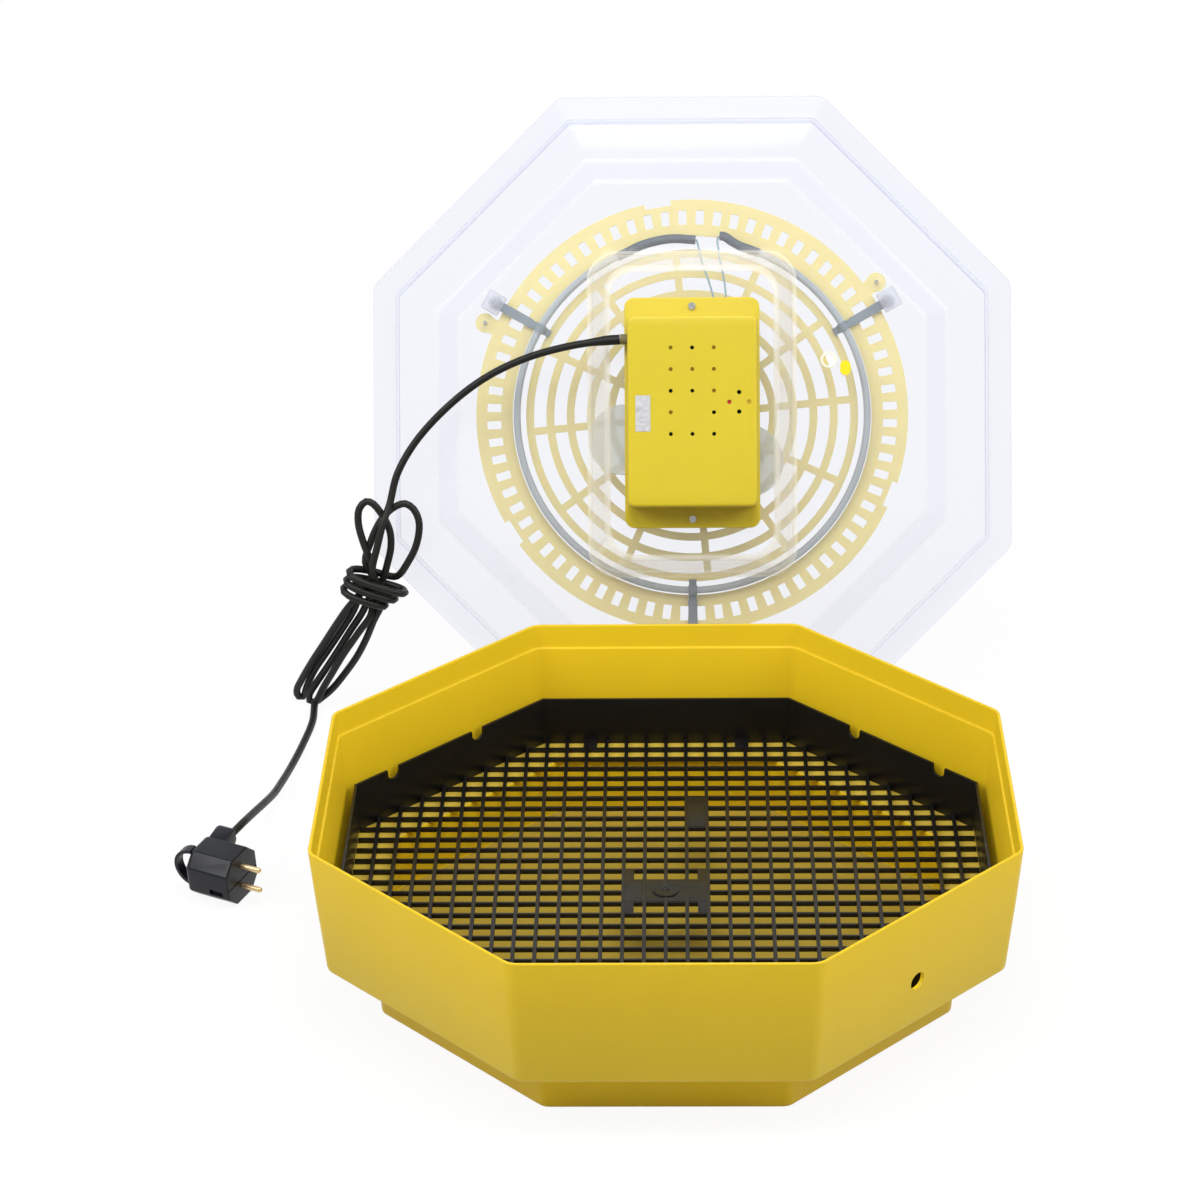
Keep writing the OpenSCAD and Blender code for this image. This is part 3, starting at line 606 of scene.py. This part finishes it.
# A sleeve where the cord leaves the box: its length and thickness, and how steeply it tapers at its end
SLEEVE_LONG, SLEEVE_THICK, SLEEVE_TAPER = 0.03, 0.0012, 1.6


def cord_radii():
    """The cord's own radius, with the sleeve's added at its start."""
    out = []
    for i in range(len(CORD_PATH)):
        left = max(0.0, 1 - i / (len(CORD_PATH) - 1) * CORD_LENGTH / SLEEVE_LONG)
        out.append(CORD_D / 2 + SLEEVE_THICK * min(1, SLEEVE_TAPER * left))
    return out


cord = piece("mains_lead", tube_mesh(CORD_PATH, cord_radii()), "black_cord", None, smooth=60)
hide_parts("mains_cord", "cord_hank", "cord_tail")
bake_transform(cord)

# ---------------------------------------------------------------- tub

# The tub's section, from under its foot, up outside and down inside: half width, height, corner radius in
# plan, then the rounding of the edge
TUB_SECTION = [
    (222, 0, 12, 0), (229.5, 0, 12, 2.5), (232, 46, 12, 1), (232, 50, 11, 0.6), (269.9, 50, 15, 3.5),
    (276.4, 118, 16, 0), (280, 162, 16, 1.1), (277.3, 162, 14.5, 1.1),
    (276, 141, 14, 0.6), (274.3, 140.8, 14, 0.8), (270.8, 96, 12, 0), (267.5, 52.5, 10, 2.5),
    (229.5, 52.5, 8, 1.5), (227.5, 2.5, 8, 3), (100, 2.5, 4, 0),
]
TUB_SMOOTH = 50
# The hole for a turning rod, which faces the front right
ROD_BORE, ROD_R = Vector((192.66, -192.66, 92)) * MM, 7.5 * MM
ROD_WAY = Vector((1, -1, 0)).normalized() * 0.02

tub_steps = [(lifted(octagon(half, r), z), edge) for half, z, r, edge in TUB_SECTION]
tub = piece("tub", softened(tub_steps), "yellow_shell", "tub", ["tub_wall", "tub_plinth"], TUB_SMOOTH)
drill(tub, [round_rod(ROD_BORE - ROD_WAY, ROD_BORE + ROD_WAY, ROD_R, 40)], TUB_SMOOTH)

# ---------------------------------------------------------------- tray

# Half width, underside, height and thickness of the tray's wall
TRAY, TRAY_Z, TRAY_H, TRAY_T = 263.5, 52.9, 44, 2.5
# The floor's bars: their pitch, the widths of those to the back and of those across, and their height
PITCH, LONG_W, CROSS_W, FLOOR_T = 17.5, 3.2, 2.6, 4.6
# The cross bars and the pads stay below the long bars' tops, and the bars end short of the wall
CROSS_DROP, PAD_DROP, BAR_GAP = 0.7, 0.3, 0.5
# The slanting sides of the wall, by their turn, with the places of their notches
NOTCHES = {45: (-67, 30), 225: (-67, 30), 135: (67, -30), 315: (67, -30)}
NOTCH_DEPTH, NOTCH_R = 10, 6.5


def wall_outline(length, notches):
    """One side of the tray's wall, from its left foot, with round-bottomed notches in its top."""
    pts = [(-length / 2, 0), (length / 2, 0), (length / 2, TRAY_H)]
    low = TRAY_H - NOTCH_DEPTH + NOTCH_R
    turns = [math.radians(a) for a in range(0, -181, -20)]
    for at in sorted(notches, reverse=True):
        pts.append((at + NOTCH_R, TRAY_H))
        pts += [(at + NOTCH_R * math.cos(a), low + NOTCH_R * math.sin(a)) for a in turns]
        pts.append((at - NOTCH_R, TRAY_H))
    pts.append((-length / 2, TRAY_H))
    return pts


def wall_side(turn):
    """One side of the tray's wall, mitred at its ends, that faces the way it is turned in degrees."""
    notches = NOTCHES.get(turn, ())
    a = math.radians(turn)
    out, along = Vector((math.cos(a), math.sin(a), 0)), Vector((-math.sin(a), math.cos(a), 0))
    rings = []
    for half in (TRAY, TRAY - TRAY_T):
        side = 2 * half * math.tan(math.radians(HALF_STEP))
        edge = wall_outline(side, notches)
        rings.append([(out * half + along * s + Vector((0, 0, TRAY_Z + z))) * MM for s, z in edge])
    return rings_mesh(rings)


piece(
    "tray_side", merged(wall_side(turn) for turn in range(0, 360, 45)), "black_tray", "tray", ["tray_wall"],
    bevel=0.0004,
)


def reach(offset, half):
    """How far a bar at this offset runs before it meets the octagon's sides."""
    if abs(offset) < half * math.tan(math.radians(HALF_STEP)):
        return half
    return half * math.sqrt(2) - abs(offset)


def floor_bars():
    half = TRAY - TRAY_T - BAR_GAP
    count = int((TRAY - TRAY_T) // PITCH)
    top = TRAY_Z + FLOOR_T
    bars = []
    for k in range(-count, count + 1):
        at, far = k * PITCH, reach(k * PITCH, half)
        bars.append(block((at - LONG_W / 2, -far, TRAY_Z), (at + LONG_W / 2, far, top)))
        bars.append(block((-far, at - CROSS_W / 2, TRAY_Z), (far, at + CROSS_W / 2, top - CROSS_DROP)))
    return bars


def pad(x, y, w, l, drop=PAD_DROP):
    return block((x - w / 2, y - l / 2, TRAY_Z), (x + w / 2, y + l / 2, TRAY_Z + FLOOR_T - drop))


# Two narrow pads beside the middle one, a larger one behind it, and two small ones at the back wall
PADS = [
    (-1.75 * PITCH, 0, PITCH / 2, 4 * PITCH, 0.45), (1.75 * PITCH, 0, PITCH / 2, 4 * PITCH, 0.45),
    (1.5 * PITCH, 7.5 * PITCH, PITCH, 3 * PITCH),
    (-67, 14.5 * PITCH, 12, PITCH), (67, 14.5 * PITCH, 12, PITCH),
]
BOSS_HOLE = 10


def circle(radius, z, angles):
    return [Vector((radius * math.cos(a), radius * math.sin(a), z)) * MM for a in angles]


def middle_pad():
    """The pad in the middle of the floor, holed for the boss that stands in it."""
    hx, hy, high = 2 * PITCH, PITCH, TRAY_Z + FLOOR_T - PAD_DROP
    corner = math.atan2(hy, hx)
    corners = [corner, math.pi - corner, math.pi + corner, 2 * math.pi - corner]
    turns = sorted([math.radians(10 * k) for k in range(36)] + corners)
    edge = []
    for a in turns:
        far = min(hx / max(abs(math.cos(a)), 1e-6), hy / max(abs(math.sin(a)), 1e-6))
        edge.append((far * math.cos(a), far * math.sin(a)))
    rings = [
        [Vector((x, y, TRAY_Z)) * MM for x, y in edge], [Vector((x, y, high)) * MM for x, y in edge],
        circle(BOSS_HOLE, high, turns), circle(BOSS_HOLE, TRAY_Z, turns),
    ]
    return rings_mesh(rings, closed=True)


def boss():
    """A low round boss with a sunk top and a blind hole, as rings from its foot up and into the hole."""
    turns = [2 * math.pi * k / 40 for k in range(40)]
    top = TRAY_Z + FLOOR_T + 0.6
    sunk = top - 0.5
    steps = ((10.5, TRAY_Z), (10.5, top), (8.6, top), (7.8, sunk), (2.8, sunk), (2.3, TRAY_Z + 2))
    return rings_mesh([circle(r, z, turns) for r, z in steps])


piece(
    "tray_floor", merged(floor_bars() + [pad(*p) for p in PADS] + [middle_pad(), boss()]),
    "black_tray", "tray", ["tray_grid"], bevel=0.00035,
)

# ---------------------------------------------------------------- lid

# The lid stands on the floor at LID_FOOT and leans back by LEAN degrees from upright. Its own axes start
# in its middle: u to the right, v up along it and n out of its front
LID_FOOT, LEAN, LID_HALF = Vector((25, 375, 0)), 26, 294
LID = (
    Matrix.Translation(LID_FOOT * MM)
    @ Matrix.Rotation(math.radians(90 - LEAN), 4, "X")
    @ Matrix.Translation(Vector((0, LID_HALF, 0)) * MM)
    @ MM_TO_M
)


def on_lid(u, v, n):
    return LID @ Vector((u, v, n))


def eight(half, n, r=3.0):
    return lifted(octagon(half, r), n, LID)


def four(hx, hy, n, r=26.0):
    return lifted(rectangle(hx, hy, r), n, LID)


LID_SMOOTH = 50
# Half width of the lip that goes down inside the tub's rim
LIP = 273.5
# From the dome's top out over the front to the rim and the lip, then back in behind. Each ring comes with
# the rounding of its corner
LID_RINGS = [
    (four(60, 110, 56, 20), 0), (four(78, 133, 56), 3.5), (four(94, 147.5, 33.5), 2),
    (four(99, 152, 32, 29), 3), (eight(214, 32, 6), 2.5), (eight(234, 18, 6), 2), (eight(272.2, 18, 6), 2.5),
    (eight(273.4, 2.5, 7), 1), (eight(LID_HALF, 2.5, 14), 0.8), (eight(LID_HALF, 0, 14), 0.8),
    (eight(LIP, 0, 7), 0.4), (eight(LIP, -16, 7), 0.5), (eight(271.2, -16, 6), 0.5),
    (eight(269.9, 15.6, 5), 2), (eight(232.6, 15.6, 5), 2),
    (eight(212.6, 29.6, 5), 2), (four(97, 150, 29.6, 27), 2), (four(91.8, 145.3, 31), 1.6),
    (four(75.8, 130.8, 53.6, 24), 2.6), (four(58, 108, 53.6, 18), 0),
]
lid = piece("lid", softened(LID_RINGS), "clear_lid", "lid", ["lid_shell"], LID_SMOOTH)
# Rings by their number: the dome's own bends, those that come after its sides, and those at its foot
DOME_RINGS = {1, 2, 17, 18}
DOME_SIDES = {2, 18}
FOOT_RINGS = {3, 16}
# The lid's materials, in the order of its material slots: the plain sheet, then those with painted highlight
# and painted reflection
AS_FLAT, AS_BEND, AS_DOME_BEND, AS_DOME_SIDE = range(4)


def ring_finish(i):
    if i in DOME_RINGS:
        return AS_DOME_BEND
    return AS_FLAT if i in FOOT_RINGS else AS_BEND


def mark_bends():
    """Gives the rounded bends and the dome's sides a thicker veil, as a painted highlight, and the dome a
    warm tint, as a painted reflection of the box's yellow. A rounded ring has three bands.
    """
    for look in (BEND_PAINTED_HIGHLIGHT, DOME_BEND_PAINTED_LIGHT, DOME_SIDE_PAINTED_LIGHT):
        lid.data.materials.append(look)
    points = len(LID_RINGS[0][0])
    bands = []
    for i in range(1, len(LID_RINGS) - 1):
        bands.append(AS_DOME_SIDE if i in DOME_SIDES else AS_FLAT)
        bands += [ring_finish(i)] * 3
    for band, finish in enumerate(bands):
        for face in lid.data.polygons[band * points : (band + 1) * points]:
            face.material_index = finish


mark_bends()
# The two vent holes in the raised flat beside the dome: place and radius
VENTS = ((125, 49, 5.5), (140, 41.5, 3.5))
drill(lid, [round_rod(on_lid(u, v, 26), on_lid(u, v, 36), r * MM, 32) for u, v, r in VENTS], LID_SMOOTH)

# ---------------------------------------------------------------- thermostat box

# Heights over the lid's plane of the cover's foot, the top of its flange and its face, then half the face's
# and the flange's size, and the wall's thickness
BASE_N, FLANGE_N, FACE_N = 58.5, 61, 92
FACE_X, FACE_Y = 58.4, 86
FLANGE_X, FLANGE_Y = 61.3, 104.5
COVER_T = 2.2
INNER_X, INNER_Y, INNER_N = FACE_X - COVER_T, FACE_Y - COVER_T, FACE_N - COVER_T
COVER_SMOOTH = 45


def box_ring(hx, hy, n, r):
    return lifted(rectangle(hx, hy, r, 9), n, LID)


BOX_RINGS = [
    (box_ring(50, 76, FACE_N, 4), 0), (box_ring(FACE_X, FACE_Y, FACE_N, 6), 3.2),
    (box_ring(FACE_X, FACE_Y, FLANGE_N, 6), 1.2), (box_ring(FLANGE_X, FLANGE_Y, FLANGE_N, 9), 0.9),
    (box_ring(FLANGE_X, FLANGE_Y, BASE_N, 9), 0.3), (box_ring(INNER_X, INNER_Y, BASE_N, 4), 0.3),
    (box_ring(INNER_X, INNER_Y, INNER_N, 4), 1), (box_ring(49, 75, INNER_N, 3), 0),
]
cover = piece("thermostat_cover", softened(BOX_RINGS), "yellow_box", "lid", ["box_cover"], COVER_SMOOTH)
# The air holes stand in columns and rows, by their numbers, and some of them are only blind dimples
HOLE_PITCH, TOP_ROW, HOLE_R, DIMPLE_DEPTH = 19.4, 57, 1.8, 0.9
HOLES = [(c, r) for c in (-1, 0, 1) for r in range(5) if (c, r) != (0, 3)]
BLIND = {(-1, 0), (1, 0), (-1, 1), (0, 1), (1, 1), (1, 2), (-1, 3)}
# The lamp holes stand round a point on the right
LAMP_U, LAMP_V, LAMP_STEP, LAMP_R = 42, 8, 8.8, 2.0
LAMP_SIDES = ((1, 0), (0, 1), (-1, 0), (0, -1))
# The drills run from inside the cover to above its face
DRILL_FOOT, DRILL_TOP = 86, 96


def hole_place(column, row):
    return column * HOLE_PITCH, TOP_ROW - row * HOLE_PITCH


def cover_drill(u, v, r, foot=DRILL_FOOT):
    return round_rod(on_lid(u, v, foot), on_lid(u, v, DRILL_TOP), r * MM, 20)


def hole_drill(hole):
    foot = FACE_N - DIMPLE_DEPTH if hole in BLIND else DRILL_FOOT
    return cover_drill(*hole_place(*hole), HOLE_R, foot)


drills = [hole_drill(hole) for hole in HOLES]
drills += [cover_drill(LAMP_U + LAMP_STEP * x, LAMP_V + LAMP_STEP * y, LAMP_R) for x, y in LAMP_SIDES]
drill(cover, [merged(drills)], COVER_SMOOTH)


def paint_dimple_shade():
    """The blind dimples get a darker yellow inside, as painted shade, and are rough."""
    # A dark yellow that paints the shade inside the dimples
    cover.data.materials.append(moulded("dimple_painted_shade", (0.22, 0.13, 0.002), 0.6, 0.1, 900, 0.2, shine=0.2))
    from_lid = LID.inverted()
    places = [hole_place(*hole) for hole in BLIND]
    for face in cover.data.polygons:
        u, v, n = from_lid @ face.center
        inside = any(math.hypot(u - x, v - y) < HOLE_R + 0.1 for x, y in places)
        if inside and FACE_N - DIMPLE_DEPTH - 0.3 < n < FACE_N - 0.05:
            face.material_index = 1


paint_dimple_shade()

# ---------------------------------------------------------------- plug

# The plug's own x axis runs along its pins
PLUG_AT, PLUG_TURN, PLUG_ROLL = Vector((-378.5, 91, 24)), math.radians(-27), math.radians(6)
PLUG = (
    Matrix.Translation(PLUG_AT * MM)
    @ Matrix.Rotation(PLUG_TURN, 4, "Z")
    @ Matrix.Rotation(PLUG_ROLL, 4, "X")
    @ MM_TO_M
)
# Half its width, half the flat of each side, and its two ends
PLUG_HALF, PLUG_FLAT, PLUG_BACK, PLUG_FRONT = 22.5, 11.5, -21, 21


def plug_ring(x, k=1.0):
    """The plug's outline, a square with wide chamfers, at a place along its length."""
    a, b = PLUG_HALF * k, PLUG_FLAT * k
    corners = ((a, -b), (a, b), (b, a), (-b, a), (-a, b), (-a, -b), (-b, -a), (b, -a))
    return [PLUG @ Vector((x, y, z)) for y, z in corners]


def neck_ring(x, shrink=0.0):
    """A cross-section of the neck that the cord comes out of."""
    far, high = 28.5 - shrink, 24 - shrink
    side = ((10, 5), (21, 5), (far, 13 + shrink), (far, high), (25, high + 0.5), (10, 20))
    return [PLUG @ Vector((x, y, z)) for y, z in side]


PLUG_SMOOTH = 40
plug_rings = [plug_ring(PLUG_BACK, 0.94), plug_ring(PLUG_BACK + 2.5), plug_ring(PLUG_FRONT)]
plug = piece(
    "plug", rings_mesh(plug_rings), "black_plug", "tub", ["plug_body"], PLUG_SMOOTH, bevel=0.0016, segments=4
)
plug_neck = piece(
    "plug_neck", rings_mesh([neck_ring(-19, 1.2), neck_ring(-16.5), neck_ring(-1.2)]), "black_plug", "tub",
    bevel=0.001, segments=3,
)
# What is cut out of the plug, as blocks: the seam across its face, a slot in the side that faces front, one
# in the side that faces back, and a nick in the upper front chamfer
SEAM = -2.4
PLUG_CUTS = [
    ((20.1, -24, SEAM - 0.6), (22, 24, SEAM + 0.6)),
    ((1.5, -24, -9.5), (14.5, -20.2, -4.6)),
    ((4.6, 21.1, -2.5), (11.4, 24, 2.5)),
    ((9, -15.5, 16), (16, -10.5, 18.6)),
]
drill(plug, [block(low, high, PLUG) for low, high in PLUG_CUTS], PLUG_SMOOTH)
# A pin, from inside the plug to its rounded tip: places along it with their radii
PIN_MARKS = [(-3, 2.4), (17.2, 2.4), (18.4, 1.8), (19, 0.9)]
PIN_SIDE = 9.5


def pin(side):
    ahead = Vector((math.cos(PLUG_TURN), math.sin(PLUG_TURN), 0))
    root = (PLUG_AT + ahead * PLUG_FRONT + Vector((0, 0, side))) * MM
    path = [root + ahead * x * MM for x, _ in PIN_MARKS]
    return tube_mesh(path, [r * MM for _, r in PIN_MARKS], 28)


pins = merged([pin(-PIN_SIDE), pin(PIN_SIDE)])
plug_pins = piece("pins", pins, "brass_pin", "tub", ["plug_pins"], PLUG_SMOOTH)
strap = clad("plug_pull_loop", "black_plug", 0.0006)

# ---------------------------------------------------------------- parts that keep their solids

for node, slot, bevel in (
    ("box_base", "black_base", 0.0004),
    ("box_screws", "zinc", 0.0002),
    ("blank_plate", "silver_plate", 0),
    ("cord_gland", "olive_gland", 0.0003),
    ("vent_ring", "pale_trim", 0.0003),
    ("vent_plug", "yellow_trim", 0.0006),
    ("circuit_board", "green_board", 0),
    ("board_posts", "pale_trim", 0),
    ("transformer", "dark_plastic", 0.0004),
    ("relay", "blue_plastic", 0.0004),
    ("terminal_block", "green_plastic", 0.0003),
    ("lamp_red", "red_lens", 0),
    ("lamp_yellow", "amber_lens", 0),
    ("motor_plate", "zinc", 0.0002),
    ("motor_screws", "zinc", 0),
    ("fan_motor", "zinc", 0.0004),
    ("shaft_bush", "bronze", 0),
    ("fan_shaft", "steel", 0),
    ("fan_wheel", "pale_fan", 0.0003),
    ("guard_ring", "amber_guard", 0.0004),
    ("guard_grille", "amber_guard", 0.0004),
    ("guard_arms", "grey_arms", 0.0004),
    ("arm_spacers", "clear_spacer", 0.0003),
    ("guard_screws", "zinc", 0),
    ("heater_ring", "heater_metal", 0),
    ("heater_clips", "grey_arms", 0.0003),
    ("heater_leads", "blue_lead", 0),
    ("wire_grommet", "black_rubber", 0.0003),
    ("temperature_sensor", "steel", 0),
):
    clad(node, slot, bevel)

# Soft sleeves over the heater's ends, which bend in towards each other
HEATER_N, HEATER_SLEEVE_R = 13.45, 0.0042
SLEEVES = [
    [(-68, 145.9), (-60.3, 149.3), (-47, 155.8), (-32, 160.2), (-17, 162.2), (4, 161)],
    [(62, 148.6), (53, 152), (44.4, 155.2), (36, 160.2), (30.5, 164), (26, 164.4)],
]


def heater_sleeve(way):
    path = smooth_path([on_lid(u, v, HEATER_N) for u, v in way], 0.003)
    return tube_mesh(path, [HEATER_SLEEVE_R] * len(path))


piece("sleeves", merged(heater_sleeve(way) for way in SLEEVES), "dark_plastic", "lid", ["heater_sleeves"], 60)
# Clear brackets at the outer ends of the guard's arms, which point these ways, in degrees
ARM_TURNS = (30, 150, 270)


def bracket(turn):
    place = LID @ Matrix.Rotation(math.radians(turn), 4, "Z")
    return block((201, -9, 10.2), (219, 10, 14.5), place)


brackets = merged(bracket(turn) for turn in ARM_TURNS)
piece("arm_brackets", brackets, "clear_spacer", "lid", bevel=0.0018, segments=3)

# ---------------------------------------------------------------- studio

# The floor's half width, where it starts to curve up, the curve's radius and the backdrop's height
FLOOR_HALF, CURVE_FROM, CURVE_R, BACKDROP = 6, 2.2, 1.2, 5
# The floor takes a little shade up to SHADED_TO metres from SHADE_AT, and none from PLAIN_FROM on
SHADE_AT, SHADED_TO, PLAIN_FROM = (-0.05, 0.15, 0.0), 0.5, 0.9
# Strength of the world's light
WORLD_LEVEL = 0.46


def paper():
    """The white floor: bright to the eye, straight or reflected, duller for the light it throws back."""
    n = Nodes("paper")
    grain = n.noise(60, 3, 0.6)
    seen_tones = [(NOISE_LOW, (0.9, 0.9, 0.9)), (NOISE_HIGH, (0.94, 0.94, 0.94))]
    lit_tones = [(NOISE_LOW, (0.5, 0.5, 0.5)), (NOISE_HIGH, (0.54, 0.54, 0.54))]
    seen_matt = n.add("BsdfDiffuse", {"Color": n.ramp(grain, seen_tones)})
    lit_matt = n.add("BsdfDiffuse", {"Color": n.ramp(grain, lit_tones)})
    glow = n.add("Emission", {"Color": (1, 1, 1, 1), "Strength": 1.0})
    place = n.add("NewGeometry").outputs["Position"]
    away = n.add("VectorMath", {0: place, 1: SHADE_AT}, operation="DISTANCE").outputs["Value"]
    bright = n.blend(n.spread(away, SHADED_TO, PLAIN_FROM, 0.92, 1.0), seen_matt, glow)
    rays = n.add("LightPath")
    seen = n.math("MAXIMUM", rays.outputs["Is Camera Ray"], rays.outputs["Is Glossy Ray"])
    seen = n.math("MAXIMUM", seen, rays.outputs["Is Transmission Ray"])
    return n.finish(n.blend(seen, lit_matt, bright).outputs[0])


def make_floor():
    """A floor that curves up into a backdrop."""
    section = [(-FLOOR_HALF, 0), (CURVE_FROM, 0)]
    turns = [math.radians(a) for a in range(10, 91, 10)]
    section += [(CURVE_FROM + CURVE_R * math.sin(a), CURVE_R - CURVE_R * math.cos(a)) for a in turns]
    section.append((CURVE_FROM + CURVE_R, BACKDROP))
    verts = [Vector((x, y, z)) for y, z in section for x in (-FLOOR_HALF, FLOOR_HALF)]
    faces = [(2 * i, 2 * i + 1, 2 * i + 3, 2 * i + 2) for i in range(len(section) - 1)]
    data = bpy.data.meshes.new("floor")
    data.from_pydata(verts, [], faces)
    data.materials.append(paper())
    obj = new_object("floor", data)
    shade_smooth(obj, 40)


def soft_light(name, at, towards, size, power):
    """A round light that points at a place, with its size in metres and its power in watts."""
    data = bpy.data.lights.new(name, "AREA")
    data.shape = "DISK"
    data.size = size
    data.energy = power
    lamp = new_object(name, data)
    lamp.location = at
    lamp.rotation_euler = (Vector(towards) - Vector(at)).to_track_quat("-Z", "Y").to_euler()


def make_world():
    """A soft even light, which is seen as plain white where the floor ends."""
    world = bpy.data.worlds.new("world")
    world.use_nodes = True
    nodes = world.node_tree.nodes
    nodes.clear()
    back = nodes.new("ShaderNodeBackground")
    back.inputs["Color"].default_value = (1, 1, 1, 1)
    rays = nodes.new("ShaderNodeLightPath")
    level = nodes.new("ShaderNodeMapRange")
    level.inputs["To Min"].default_value = WORLD_LEVEL
    level.inputs["To Max"].default_value = 1.0
    world.node_tree.links.new(rays.outputs["Is Camera Ray"], level.inputs["Value"])
    world.node_tree.links.new(level.outputs["Result"], back.inputs["Strength"])
    out = nodes.new("ShaderNodeOutputWorld")
    world.node_tree.links.new(back.outputs[0], out.inputs[0])
    bpy.context.scene.world = world


make_floor()
make_world()
soft_light("key", (-1.9, -0.75, 2.1), (0, 0.1, 0.1), 1.4, 34)
soft_light("fill", (1.95, -0.65, 1.95), (0, 0.1, 0.15), 1.5, 30)
soft_light("top", (0, -0.25, 1.75), (0, 0, 0.1), 1.1, 18)

bpy.context.scene.view_settings.view_transform = "Standard"
